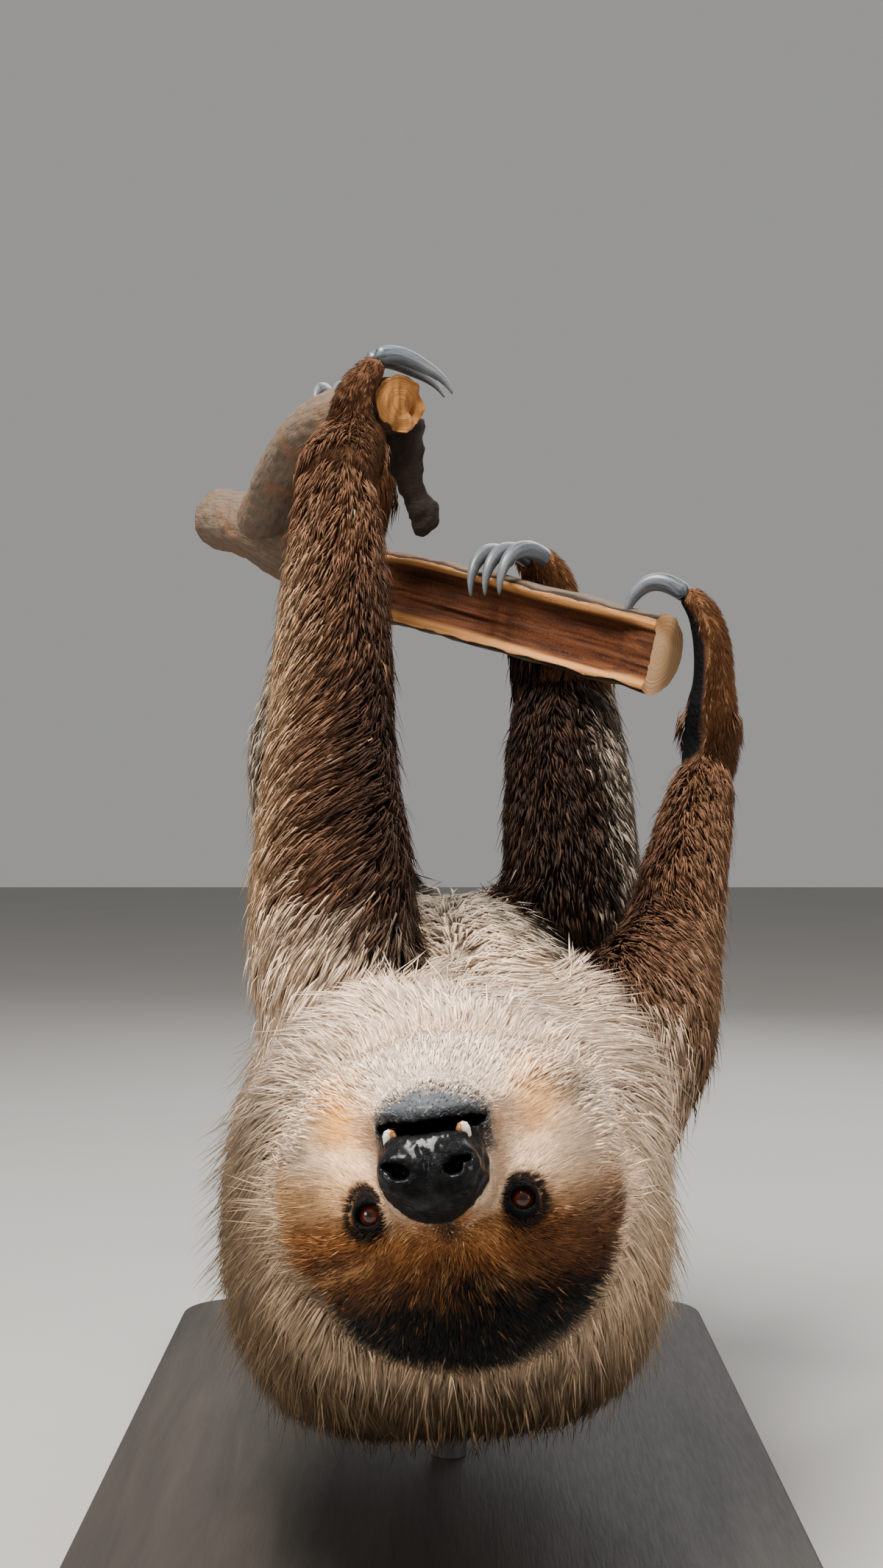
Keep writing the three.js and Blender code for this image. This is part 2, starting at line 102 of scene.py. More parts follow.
class Wire:
    """A socket in a material's tree. Sums written on wires add the nodes that work them out."""

    def __init__(self, tree, socket=None):
        self.tree, self.socket = tree, socket

    def node(self, kind, settings=None, inputs=None, output=0):
        """A new node: its settings are set first, then the values or wires of its sockets."""
        made = self.tree.nodes.new("ShaderNode" + kind)
        for name, value in (settings or {}).items():
            if name == "stops":
                ramp = made.color_ramp
                while len(ramp.elements) < len(value):
                    ramp.elements.new(0.5)
                for element, (place, colour) in zip(ramp.elements, value):
                    element.position, element.color = place, (*colour, 1.0)
            else:
                setattr(made, name, value)
        for name, value in (inputs or {}).items():
            if isinstance(value, Wire):
                self.tree.links.new(value.socket, made.inputs[name])
            else:
                made.inputs[name].default_value = value
        return Wire(self.tree, made.outputs[output])

    def maths(self, operation, a, b=0.0):
        """One sum on two wires or numbers."""
        return self.node("Math", {"operation": operation}, {0: a, 1: b})

    def blend(self, kind, a, b, share=1.0):
        """Two colours mixed; share says how far a is drawn towards b."""
        sockets = {0: share}
        for index, colour in ((6, a), (7, b)):
            sockets[index] = colour if isinstance(colour, Wire) else (*colour, 1.0)
        return self.node("Mix", {"data_type": "RGBA", "blend_type": kind}, sockets, output=2)

    def __add__(self, other):
        return self.maths("ADD", self, other)

    def __sub__(self, other):
        return self.maths("SUBTRACT", self, other)

    def __rsub__(self, other):
        return self.maths("SUBTRACT", other, self)

    def __mul__(self, other):
        return self.maths("MULTIPLY", self, other)

    __radd__, __rmul__ = __add__, __mul__


def material(name, **fixed):
    """A new material, its wires and its one shader, with the sockets in `fixed` set all over."""
    made = bpy.data.materials.new(name)
    made.use_nodes = True
    shader = made.node_tree.nodes["Principled BSDF"]
    for socket, value in fixed.items():
        shader.inputs[socket.replace("_", " ").title().replace("Ior", "IOR")].default_value = value
    return made, Wire(made.node_tree), shader


def feed(wires, shader, **sockets):
    """Links wires to the shader's sockets, which are named here with underscores."""
    for socket, wire in sockets.items():
        wires.tree.links.new(wire.socket, shader.inputs[socket.replace("_", " ").title()])


board, wires, shader = material("floor_board", roughness=0.85)
space = wires.node("TexCoord", output=3)
mottle = wires.node("TexNoise", inputs={"Vector": space, "Scale": 3.0, "Detail": 4.0})
feed(wires, shader, base_color=wires.blend("MIX", (0.30, 0.29, 0.275), (0.34, 0.33, 0.315), mottle))
sheet = bpy.data.meshes.new("floor")
corners = [(-1, -1), (1, -1), (1, 1), (-1, 1)]
sheet.from_pydata([(x * FLOOR_REACH, y * FLOOR_REACH, 0.0) for x, y in corners], [], [(0, 1, 2, 3)])
sheet.materials.append(board)
floor = bpy.data.objects.new("floor", sheet)
bpy.context.scene.collection.objects.link(floor)

# ---------- The bare body ----------
# Under the coat the trunk is a barrel through oval rings, and each limb is two tapering lengths that meet at
# a bent joint. All of it is one hide, so each form melts into the next. Lengths are in millimetres, measured
# from a point at the animal's face: x to the right, y back to the rump, z up.
MM = 0.001
FRAME_ORIGIN = np.array((0.0, 301.5, -332.0))
FAR = 40.0
TRUNK = [
    # x, y, z, half width and half height out to the tips of the coat
    (3, 42, -147, 42, 42), (4, 84, -148, 69, 67), (6, 128, -150, 84, 84), (5, 195, -165, 93, 104),
    (5, 275, -160, 95, 111), (4, 355, -153, 94, 111), (3, 430, -146, 90, 102), (3, 496, -139, 76, 82),
]
NECK_COAT, TRUNK_COAT = 15.0, 20.0
TRUNK_HANG, TRUNK_CAP, HAND_CAP = 2.8, 0.62, 0.8
TRUNK_RINGS, LIMB_RINGS, HAND_RINGS = 22, 20, 12
LIMB_FILLET, HAND_FILLET = 22.0, 8.0
BODY_BOX = (-126, -10, -292), (180, 606, 246)
TRUNK_BOX = (-72, 15, -262), (82, 540, -60)
BODY_GRAIN = 3.8
LIMBS = {
    # three joints, then half widths and half depths out to the tips of the coat, evenly along each length
    "arm_left": (((-41, 146, -108), (-48, 245, 14), (-50, 350, 149)),
                 ((30, 32), (37, 37), (35, 34), (30, 31)), ((30, 31), (28.5, 28), (25, 24), (20, 19))),
    "arm_right": (((64, 152, -126), (104, 300, -80), (138, 425, 12)),
                  ((32, 34), (38, 40), (34, 36), (27, 31)), ((27, 31), (23.5, 28), (20, 23), (16, 17))),
    "leg_left": (((-32, 476, -122), (-70, 418, 6), (-51, 474, 136)),
                 ((36, 40), (42, 46), (37, 39), (32, 33)), ((32, 33), (30, 31), (27, 27), (20, 19))),
    "leg_right": (((40, 478, -124), (66, 398, -64), (67, 494, 54)),
                  ((36, 40), (44, 48), (42, 42), (37, 37)), ((37, 37), (36, 36), (33, 31), (27, 22))),
}
SHOULDER_COAT, WRIST_COAT = 12.0, 5.0
GRIPS = {
    # the perch's axis, the way from it to the palm, rows of out, up, half width and half thickness, the
    # girth at the wrist, how many claws, how far apart, and each claw's arc: from, to, clearances, thickness
    "hand_left": ("arm_left", (-20, 391, 188.5), (-0.93, -0.37, 0), ((26, -19, 18, 14), (25, 4, 16, 12.5),
                  (15, 20, 13.5, 9)), (19, 17), 2, 11.0, (60, 161, (24, 19.8, 26), 4.1)),
    "hand_right": ("arm_right", (103, 425, 68), (0.985, -0.17, 0), ((36, -30, 15, 13.5), (37, -4, 15, 12.5),
                   (33, 18, 14, 11), (25, 29, 12.5, 8.5)), (16, 16), 2, 11.0,
                  (54, 110, (34, 33, 20.9), 4.2)),
    "foot_left": ("leg_left", (-54, 436, 186.5), (0.35, 0.94, 0), ((36, -22, 18, 14.5), (34, 2, 16.5, 12),
                  (20, 21.5, 14.5, 8.5)), (20, 18), 3, 9.5, (50, 122, (19, 17, 15.5), 4.4)),
    "foot_right": ("leg_right", (36, 476, 91), (0.626, 0.78, 0), ((42, -8, 21, 17), (38, 20, 17.5, 14),
                   (23, 34, 15, 10)), (26, 22), 3, 9.5, (62, 154, (32, 30, 22), 4.5)),
}
HAND_COAT = 3.0


def unit(v):
    """Each direction at a length of 1."""
    return v / np.maximum(np.linalg.norm(v, axis=-1, keepdims=True), 1e-9)


def smooth(low, high, value):
    """0 at low, 1 at high and an even curve between; low may be the greater."""
    t = np.clip((value - low) / (high - low), 0, 1)
    return t * t * (3 - 2 * t)


def along(rows, steps):
    """A smooth curve through rows of numbers, read at even steps."""
    rows = np.asarray(rows, float)
    ends = np.vstack((2 * rows[0] - rows[1], rows, 2 * rows[-1] - rows[-2]))
    place = np.linspace(0, len(rows) - 1, steps)
    i = np.minimum(place.astype(int), len(rows) - 2)
    t = (place - i)[:, None]
    a, b, c, d = (ends[i + k] for k in range(4))
    return 0.5 * (2 * b + (c - a) * t + (2 * a - 5 * b + 4 * c - d) * t * t
                  + (3 * b - a - 3 * c + d) * t ** 3)


def melt(a, b, width):
    """Two forms joined with a fillet."""
    near = np.clip(width - np.abs(a - b), 0, None) / width
    return np.minimum(a, b) - near * near * width / 4


def carve(a, b, width):
    """Form a with form b taken out of it, and the edge rounded."""
    return -melt(-a, b, width)


def swept(p, rows, across, hang=2.0, cap=0.9):
    """How far p lies outside a round-ended form through oval rings; hang squares its lower side."""
    best = np.full(p.shape[:-1], 1e3, np.float32)
    tangent = unit(np.gradient(rows[:, :3], axis=0))
    across = np.asarray(across, float)
    side = unit(across - tangent * (tangent @ across)[:, None])
    under = np.cross(tangent, side)
    for k in range(len(rows) - 1):
        start, run = rows[k, :3], rows[k + 1, :3] - rows[k, :3]
        off = p - start
        t = np.clip(off @ run / (run @ run), 0, 1)
        off = off - t[..., None] * run
        wide = rows[k, 3] + (rows[k + 1, 3] - rows[k, 3]) * t
        deep = rows[k, 4] + (rows[k + 1, 4] - rows[k, 4]) * t
        long = cap * np.minimum(wide, deep)
        u, v, w = np.abs(off @ side[k]) / wide, off @ under[k] / deep, off @ tangent[k] / long
        round_ = np.sqrt(u * u + v * v)
        if hang != 2.0:
            round_ = np.where(v > 0, (u ** hang + np.abs(v) ** hang) ** (1 / hang), round_)
        whole = np.sqrt(round_ * round_ + w * w)
        slope = np.sqrt((u / wide) ** 2 + (v / deep) ** 2 + (w / long) ** 2)
        depth = whole * (whole - 1) / np.maximum(slope, 1e-6)
        best = np.minimum(best, np.where(slope > 1e-6, depth, -deep))
    return best


class Block:
    """A box of evenly spaced readings of how far each place is outside the bare body, negative inside."""

    def __init__(self, low, high, pitch):
        self.low, self.pitch = np.array(low, np.float32), pitch
        self.shape = np.ceil((np.array(high) - low) / pitch).astype(int) + 1
        self.values = np.full(self.shape, FAR, np.float32)
        self.part = np.zeros(self.shape, np.int8)

    def form(self, shape, low, high, width, part=0, reach=34.0):
        """Melts a form that lies between two corners into the block."""
        a = np.clip(np.floor((np.array(low) - reach - self.low) / self.pitch), 0, self.shape - 1).astype(int)
        b = np.clip(np.ceil((np.array(high) + reach - self.low) / self.pitch), 1, self.shape).astype(int)
        lines = [self.low[k] + self.pitch * np.arange(a[k], b[k], dtype=np.float32) for k in range(3)]
        p = np.stack(np.meshgrid(*lines, indexing="ij"), -1)
        room = tuple(slice(a[k], b[k]) for k in range(3))
        found = shape(p).astype(np.float32)
        self.part[room] = np.where(found < self.values[room], part, self.part[room])
        self.values[room] = melt(self.values[room], found, width)

    def ready(self):
        """Keeps each reading beside the slope there."""
        slopes = np.gradient(self.values, self.pitch)
        self.readings = np.stack((self.values, *slopes), -1)
        return self

    def read(self, p):
        """The reading and the outward direction at each point."""
        g = np.clip((p - self.low) / self.pitch, 0, self.shape - 1.001)
        i = g.astype(int)
        f = (g - i).astype(np.float32)
        total = np.zeros((len(p), 4), np.float32)
        for corner in np.ndindex(2, 2, 2):
            share = np.prod(np.where(corner, f, 1 - f), axis=1)
            total += share[:, None] * self.readings[tuple((i + corner).T)]
        return total[:, 0], unit(total[:, 1:])

    def skin(self):
        """Points and four-cornered faces of the surface where the readings pass through zero."""
        inside = self.values < 0
        room = self.shape - 1
        corners = list(np.ndindex(2, 2, 2))

        def block(array, c):
            return array[c[0]:c[0] + room[0], c[1]:c[1] + room[1], c[2]:c[2] + room[2]]

        hits = sum(block(inside, c).astype(np.int8) for c in corners)
        cells = np.argwhere((hits > 0) & (hits < 8))
        number = np.full(room, -1)
        number[tuple(cells.T)] = np.arange(len(cells))
        total, count = np.zeros((len(cells), 3)), np.zeros(len(cells))
        for a in corners:
            for axis in range(3):
                if a[axis]:
                    continue
                step = np.eye(3, dtype=int)[axis]
                va, vb = self.values[tuple((cells + a).T)], self.values[tuple((cells + a + step).T)]
                crossed = (va < 0) != (vb < 0)
                t = np.where(crossed, va / np.where(crossed, va - vb, 1), 0)
                total += crossed[:, None] * (np.array(a) + t[:, None] * step)
                count += crossed
        points = self.low + self.pitch * (cells + total / count[:, None])
        faces = []
        for axis in range(3):
            one, two = np.eye(3, dtype=int)[[(axis + 1) % 3, (axis + 2) % 3]]
            here = np.moveaxis(inside, axis, 0)
            for outwards, mask in ((True, here[:-1] & ~here[1:]), (False, ~here[:-1] & here[1:])):
                edge = np.argwhere(np.moveaxis(mask, 0, axis))
                edge = edge[(edge @ one > 0) & (edge @ two > 0)]
                ring = [number[tuple((edge - shift).T)] for shift in (0 * one, one, one + two, two)]
                faces.append(np.stack(ring if outwards else ring[::-1], 1))
        return points, np.vstack(faces)


def pared(rows, coats):
    """Rows of a furred form with the coat's depth taken off both half widths."""
    rows = np.array(rows, float)
    rows[:, 3:] -= np.asarray(coats, float)[:, None]
    return rows


def gripped(centre, out):
    """Turns out, up and sideways from the perch's axis into a place."""
    out = unit(np.array(out, float))
    up = unit(np.array((0, 0, 1.0)) - out * out[2])
    side = np.cross(out, up)
    return lambda h, v, w=0.0: np.array(centre) + out * h + up * v + side * w


PARTS = ("trunk", *LIMBS, *GRIPS)
neck_end, chest = TRUNK[0][1], TRUNK[2][1]
trunk_coats = np.interp([row[1] for row in TRUNK], (neck_end, chest), (NECK_COAT, TRUNK_COAT))
trunk_rows = along(pared(TRUNK, trunk_coats), TRUNK_RINGS)
body = Block(*BODY_BOX, BODY_GRAIN)
body.form(lambda p: swept(p, trunk_rows, (1, 0, 0), TRUNK_HANG, TRUNK_CAP), *TRUNK_BOX, 1.0)
limb_rows = {}
for name, (joints, upper, lower) in LIMBS.items():
    hand = next(key for key, grip in GRIPS.items() if grip[0] == name)
    _, centre, out, rows, wrist_girth, *_ = GRIPS[hand]
    place = gripped(centre, out)
    joints = [np.array(joint, float) for joint in joints]
    knuckles = place(*rows[0][:2])
    spots = [joints[0] + (joints[1] - joints[0]) * t for t in (0, 1 / 3, 2 / 3)]
    spots += [joints[1] + (joints[2] - joints[1]) * t for t in (0, 1 / 3, 2 / 3, 1)]
    girths = [*upper[:3], *lower]
    chain = [(*spot, *girth) for spot, girth in zip(spots, girths)] + [(*knuckles, *wrist_girth)]
    coats = np.linspace(SHOULDER_COAT, WRIST_COAT, len(chain))
    limb_rows[name] = along(pared(chain, coats), LIMB_RINGS)
    ends = [(*joints[2], *wrist_girth)] + [(*place(h, v), wide, thick) for h, v, wide, thick in rows]
    limb_rows[hand] = along(pared(ends, np.full(len(ends), HAND_COAT)), HAND_RINGS)
    reach = np.array(chain)[:, :3]
    body.form(lambda p: swept(p, limb_rows[name], (1, 0, 0)), reach.min(0) - 30, reach.max(0) + 30,
              LIMB_FILLET, PARTS.index(name))
    reach = np.array(ends)[:, :3]
    across = np.cross(out, (0, 0, 1.0))
    body.form(lambda p: swept(p, limb_rows[hand], across, cap=HAND_CAP), reach.min(0) - 20,
              reach.max(0) + 20, HAND_FILLET, PARTS.index(hand))

# ---------- The bare head ----------
# A domed skull with full cheeks, a short blunt snout and a slack lower lip, all thinly covered. Its own
# frame lies midway between the eyes: x to the right, y back, z towards the chin, as the head hangs upside
# down.
HEAD_AT = np.array((1.7, 0.0, -136.6))
HEAD_PITCH, HEAD_ROLL, HEAD_YAW = 8.0, -7.3, -5.0
EYE_SPREAD, EYE_DEPTH, EYE_RADIUS = 24.3, 2.5, 6.2
GAZE = unit(np.array((0.14, -1.0, 0.05)))
LID_THICK, LID_FILLET, LID_TILT = 0.75, 5.5, 24.0
LID_SLOT = (4.0, 3.5)
FOLD_GAP, FOLD_DEPTH = 2.1, 0.24
MOUTH_LEVEL, MOUTH_CURVE = 26.5, 1.2
EGGS = {
    # centre and half widths; what lies off the middle is on both sides, but for the mouth
    "dome": ((0, 42, -12), (48.5, 41.5, 39.5)),
    "cheek": ((31, 30, 10), (20, 27.5, 27)),
    "throat": ((0, 32, 30), (34, 36.5, 20)),
    "brow": ((25.5, 9.5, 0.5), (15, 13.0, 13)),
    "bridge": ((0, 4, 4), (14, 28.5, 15.5)),
    "snout": ((0, 0, 16), (18.7, 39, 20.8)),
    "nose": ((0, -22, 13), (17.4, 24, 16)),
    "chin": ((0, -11, 28), (18.6, 26.5, 13.2)),
    "nose_wing": ((8.6, -38.8, 13.8), (7.6, 8.3, 8.4)),
    "nose_groove": ((0, -49.5, 15), (0.9, 5, 9)),
    "nostril": ((8.3, -47.0, 14.0), (3.0, 7.5, 2.3)),
    "nostril_slit": ((11.4, -44.0, 16.2), (2.8, 5.5, 1.2)),
    "lower_lip": ((0, -31.0, 31.2), (14.5, 5.2, 2.4)),
    "upper_lip": ((0, -35.0, 22.6), (13, 5.0, 2.2)),
    "mouth": ((0.8, -28, MOUTH_LEVEL), (20.6, 17, 2.3)),
}
HEAD_GRAIN = 0.9
HEAD_BOX = (-64, -52, -58), (64, 98, 62)
NAPE_BOX = (-60, -52, -205), (62, 95, -70)


def turned(axis, degrees):
    """A turn about one axis."""
    c, s = math.cos(math.radians(degrees)), math.sin(math.radians(degrees))
    return np.array({"x": ((1, 0, 0), (0, c, -s), (0, s, c)), "y": ((c, 0, s), (0, 1, 0), (-s, 0, c)),
                     "z": ((c, -s, 0), (s, c, 0), (0, 0, 1))}[axis], float)


HEAD_TURN = turned("y", HEAD_ROLL) @ turned("z", HEAD_YAW) @ turned("x", -HEAD_PITCH)


def to_head(p):
    """Places in the body's frame, in the head's own."""
    return (p - HEAD_AT) @ HEAD_TURN


def from_head(q):
    """Places in the head's frame, in the body's."""
    return q @ HEAD_TURN.T + HEAD_AT


def egg(p, name):
    """How far p lies outside one of the egg-shaped forms."""
    centre, radii = np.array(EGGS[name], np.float32)
    q = (p - centre) / radii
    whole = np.linalg.norm(q, axis=-1)
    return whole * (whole - 1) / np.maximum(np.linalg.norm(q / radii, axis=-1), 1e-4)


def mirrored(q):
    """Places on the left of the head carried over to the right."""
    m = q.copy()
    m[..., 0] = np.abs(m[..., 0])
    return m


def skull(q):
    """The head's main masses, without its features."""
    m = mirrored(q)
    dome, cheek, throat, brow, bridge, snout, nose, chin = (egg(m, name) for name in tuple(EGGS)[:8])
    back = melt(melt(melt(dome, cheek, 14), throat, 16), brow, 10)
    return melt(back, melt(melt(melt(bridge, snout, 8), nose, 6), chin, 5), 8)


def in_head_box(q, margin):
    """Whether each place is inside the head's block and a margin away from its sides."""
    low, high = np.array(HEAD_BOX)
    return ((q > low + margin) & (q < high - margin)).all(1)


def eye_frame(side):
    """An eye's centre, and its directions across, up and out, for the left (-1) or right (1) eye."""
    out = GAZE * (side, 1, 1)
    across = unit(np.cross(out, (0, 0, 1.0)))
    tilt = math.radians(LID_TILT * side)
    lift = np.cross(across, out)
    return (np.array((side * EYE_SPREAD, EYE_DEPTH, 0.0)), across * math.cos(tilt) + lift * math.sin(tilt),
            lift * math.cos(tilt) - across * math.sin(tilt), out)


def face(q):
    """The head with its nose, lips and lids."""
    m = mirrored(q)
    whole = melt(skull(q), egg(m, "nose_wing"), 3.5)
    whole = carve(whole, egg(m, "nose_groove"), 2.5)
    whole = carve(whole, melt(egg(m, "nostril"), egg(m, "nostril_slit"), 1.6), 1.4)
    bent = q.copy()
    bent[..., 2] -= MOUTH_CURVE * (q[..., 0] / 19) ** 2
    whole = melt(whole, egg(bent, "lower_lip"), 2.0)
    whole = melt(whole, egg(bent, "upper_lip"), 2.5)
    whole = carve(whole, egg(bent, "mouth"), 1.2)
    waves = np.random.default_rng(3).normal(size=(6, 3)) * 0.75
    knobs = np.sin(q @ waves.T.astype(np.float32) + np.arange(6)).sum(-1)
    whole = whole - 0.11 * knobs * smooth(-14, -24, q[..., 1])
    for side in (-1, 1):
        centre, across, lift, out = eye_frame(side)
        off = q - centre.astype(np.float32)
        a, b, c = off @ across, off @ lift, off @ out
        lid = np.linalg.norm(off, axis=-1) - EYE_RADIUS - LID_THICK
        whole = melt(whole, lid, LID_FILLET)
        ring = np.sqrt((a / 1.25) ** 2 + b ** 2)
        uneven = ring + 0.5 * np.sin(a * 0.9 + side) + 0.4 * np.sin(b * 1.3)
        folds = np.cos((uneven - 5.0) * 2 * math.pi / FOLD_GAP)
        folds = folds * smooth(3.9, 4.8, ring) * smooth(9.0, 6.0, ring)
        whole = whole - FOLD_DEPTH * folds * (c > 0)
        slot = ((np.abs(a) / LID_SLOT[0]) ** 1.7 + (np.abs(b) / LID_SLOT[1]) ** 2 - 1) * LID_SLOT[1] * 0.6
        whole = carve(whole, np.where(c > 1.0, slot, FAR), 0.8)
    return whole


head = Block(*HEAD_BOX, HEAD_GRAIN)
head.form(face, *HEAD_BOX, 1.0)
for side in (-1, 1):
    ear = along([(side * 46, 60, 3, 6, 3), (side * 52, 65, -2, 9, 2.2), (side * 55, 69, -7, 6, 1.4)], 7)
    head.form(lambda q: swept(q, ear, (0, 0.6, 0.8)), (side * 51 - 12, 52, -20), (side * 51 + 12, 80, 12),
              2.5, reach=4.0)
head.ready()
# The coat of the body is combed over the body and the skull melted together.
guide = Block(body.low, body.low + (body.shape - 1) * body.pitch, body.pitch)
guide.values[...], guide.part[...] = body.values, body.part
guide.form(lambda p: skull(to_head(p)), *NAPE_BOX, 8.0, len(PARTS))
guide.ready()
body.ready()

# ---------- The skin ----------
# One hide over the whole animal, hidden by the coat but for the muzzle, the lids, the inside of the mouth
# and the palms. Those are black, naked and finely cobbled, and wet about the nose.


def mesh_of(name, points, faces, made):
    """A smooth-shaded piece from points in millimetres and faces that all have as many corners."""
    mesh = bpy.data.meshes.new(name)
    mesh.vertices.add(len(points))
    mesh.vertices.foreach_set("co", ((points - FRAME_ORIGIN) * MM).astype(np.float32).ravel())
    mesh.loops.add(faces.size)
    mesh.loops.foreach_set("vertex_index", faces.astype(np.int32).ravel())
    mesh.polygons.add(len(faces))
    mesh.polygons.foreach_set("loop_start", np.arange(0, faces.size, faces.shape[1], dtype=np.int32))
    mesh.update(calc_edges=True)
    mesh.shade_smooth()
    mesh.materials.append(made)
    piece = bpy.data.objects.new(name, mesh)
    bpy.context.scene.collection.objects.link(piece)
    return piece


def points_of(mesh):
    """A mesh's points in the body's frame, in millimetres."""
    found = np.zeros(len(mesh.vertices) * 3, np.float32)
    mesh.vertices.foreach_get("co", found)
    return found.reshape(-1, 3) / MM + FRAME_ORIGIN


def stain(mesh, name, values):
    """Stores a colour or a number at each point of a mesh."""
    flat = np.asarray(values, np.float32)
    if flat.ndim == 1:
        mesh.attributes.new(name, "FLOAT", "POINT").data.foreach_set("value", flat)
    else:
        flat = np.hstack((flat, np.ones((len(flat), 1), np.float32)))
        mesh.attributes.new(name, "FLOAT_COLOR", "POINT").data.foreach_set("color", flat.ravel())


hide, wires, shader = material("hide", specular_ior_level=0.05, coat_roughness=0.17)
space = wires.node("TexCoord", output=3)
tone = wires.node("Attribute", {"attribute_name": "tone"})
bare = wires.node("Attribute", {"attribute_name": "bare"}, output=2)
wet = wires.node("Attribute", {"attribute_name": "wet"}, output=2)
cobble = wires.node("TexVoronoi", {"feature": "SMOOTH_F1"},
                    {"Vector": space, "Scale": 1300.0, "Smoothness": 0.4})
crease = wires.node("TexNoise", inputs={"Vector": space, "Scale": 420.0, "Detail": 5.0, "Roughness": 0.65})
patch = wires.node("TexNoise", inputs={"Vector": space, "Scale": 150.0, "Detail": 3.0})
lumps = wires.node("TexVoronoi", {"feature": "SMOOTH_F1"},
                   {"Vector": space, "Scale": 420.0, "Smoothness": 0.7})
relief = cobble * -0.5 + crease * 0.8 - lumps * 1.5
mottled = wires.blend("MULTIPLY", tone, wires.blend("MIX", (0.7, 0.7, 0.72), (1.3, 1.3, 1.3), patch))
bump = wires.node("Bump", inputs={"Height": relief, "Distance": 0.0007, "Strength": bare * 0.6 + 0.1})
damp = wires.node("MapRange", inputs={"Value": patch, "From Min": 0.34, "From Max": 0.74})
feed(wires, shader, base_color=mottled, normal=bump, coat_weight=wet * damp * 0.4,
     roughness=0.85 - bare * 0.3 + (crease - 0.5) * 0.3)

shells = []
for name, block, place in (("skin", body, lambda p: p), ("skin_head", head, from_head)):
    points, faces = block.skin()
    shells.append(mesh_of(name, place(points), faces, hide))
skin, other = shells
join = skin.modifiers.new("join", "BOOLEAN")
join.operation, join.solver, join.object = "UNION", "MANIFOLD", other
whole = bpy.data.meshes.new_from_object(skin.evaluated_get(bpy.context.evaluated_depsgraph_get()))
skin.modifiers.clear()
skin.data = whole
bpy.data.objects.remove(other)

# The markings, which the skin and the coat over it share: colours of hair, then those of the naked parts.
CREAM, MILK, BEIGE = (0.86, 0.61, 0.41), (0.98, 0.785, 0.62), (0.42, 0.29, 0.175)
HONEY, RUST, UMBER = (0.70, 0.38, 0.15), (0.31, 0.118, 0.035), (0.11, 0.040, 0.014)
SOOT, GREY, ASH = (0.0025, 0.0025, 0.002), (0.27, 0.20, 0.145), (0.42, 0.34, 0.26)
BROWN, CHOCOLATE, TAN = (0.13, 0.060, 0.030), (0.035, 0.016, 0.009), (0.46, 0.29, 0.165)
# DUN_PAINTED_SHADE is the coat's darker tone deepened into painted shade, for the back and the ruff's crown
# side.
NIGHT, DUN_PAINTED_SHADE, OAT = (0.017, 0.009, 0.006), (0.15, 0.094, 0.047), (0.64, 0.45, 0.29)
SLATE, GOLD, COPPER = (0.16, 0.16, 0.165), (1.0, 0.49, 0.115), (0.50, 0.22, 0.09)
LEATHER, LEATHER_GREY = (0.0035, 0.0035, 0.004), (0.075, 0.081, 0.088)
MOUTH_DARK = (0.004, 0.002, 0.002)
WHORL = np.array((2.0, -23.0, -5.5))
# How far the dark hair reaches from each eye: to the nose, to the side, to the chin and to the crown.
LID_REACH = {-1: (5.6, 6.4, 7.6, 6.0), 1: (7.6, 6.4, 7.6, 6.8)}
# How coppery each hand and foot is past its wrist, and how far round it the naked palm begins.
COPPER_SHARE = {"hand_left": 0.06, "hand_right": 0.36, "foot_left": 0.36, "foot_right": 0.55}
PALM_EDGE = {"hand_left": 0.25, "hand_right": 0.0, "foot_left": 0.25, "foot_right": 0.6}
# The skin takes the hair's colours at this share: painted shade where it shows between the locks.
SKIN_SHADE = 0.55


def ripple(p, size, seed):
    """A smooth unevenness of about -1 to 1, with features as wide as size."""
    draw = np.random.default_rng(seed)
    waves = unit(draw.normal(size=(7, 3))) * draw.uniform(0.6, 1.5, (7, 1)) * 2 * math.pi / size
    return np.sin(p @ waves.T + draw.uniform(0, 2 * math.pi, 7)).sum(1) / 2.8


def mixed(a, b, share):
    """Rows of a drawn towards b by each row's share."""
    return np.asarray(a) + (np.asarray(b) - np.asarray(a)) * share[:, None]


def muzzle_pad(q):
    """1 on the naked black nose, 0 off it."""
    x, y, z = q.T
    low = -5.5 + 8.5 * (np.abs(x) / 15) ** 2
    return smooth(-1.6, 1.6, z - low) * smooth(1.6, -1.6, y + 27.5 - 0.12 * (z - 5) + ripple(q, 9, 1)) \
        * smooth(MOUTH_LEVEL + 2.0, MOUTH_LEVEL + 0.5, z)


def lip_skin(q):
    """1 on the grey skin of the lips and chin, which short pale hair grows through."""
    x, y, z = q.T
    chin = smooth(2.5, -2.5, z - 38.0 + 5.5 * (np.abs(x) / 17) ** 2 + ripple(q, 7, 2))
    side = smooth(3.5, -3.5, y + 14 - 0.4 * np.abs(z - 27) + ripple(q, 8, 3) * 1.2)
    return chin * side * smooth(14, 19, z)


def lids(q):
    """How far each point is from the nearer eye, where 1 is the edge of the dark hair round it."""
    gap = np.full(len(q), 99.0)
    for side in (-1, 1):
        inner, outer, low, high = LID_REACH[side]
        off = q - eye_frame(side)[0]
        across = -side * off[:, 0] / np.where(off[:, 0] * side < 0, inner, outer)
        gap = np.minimum(gap, np.sqrt(across ** 2 + (off[:, 2] / np.where(off[:, 2] > 0, low, high)) ** 2
                                      + (np.clip(np.abs(off[:, 1]) - 6, 0, None) / 6) ** 2))
    return gap


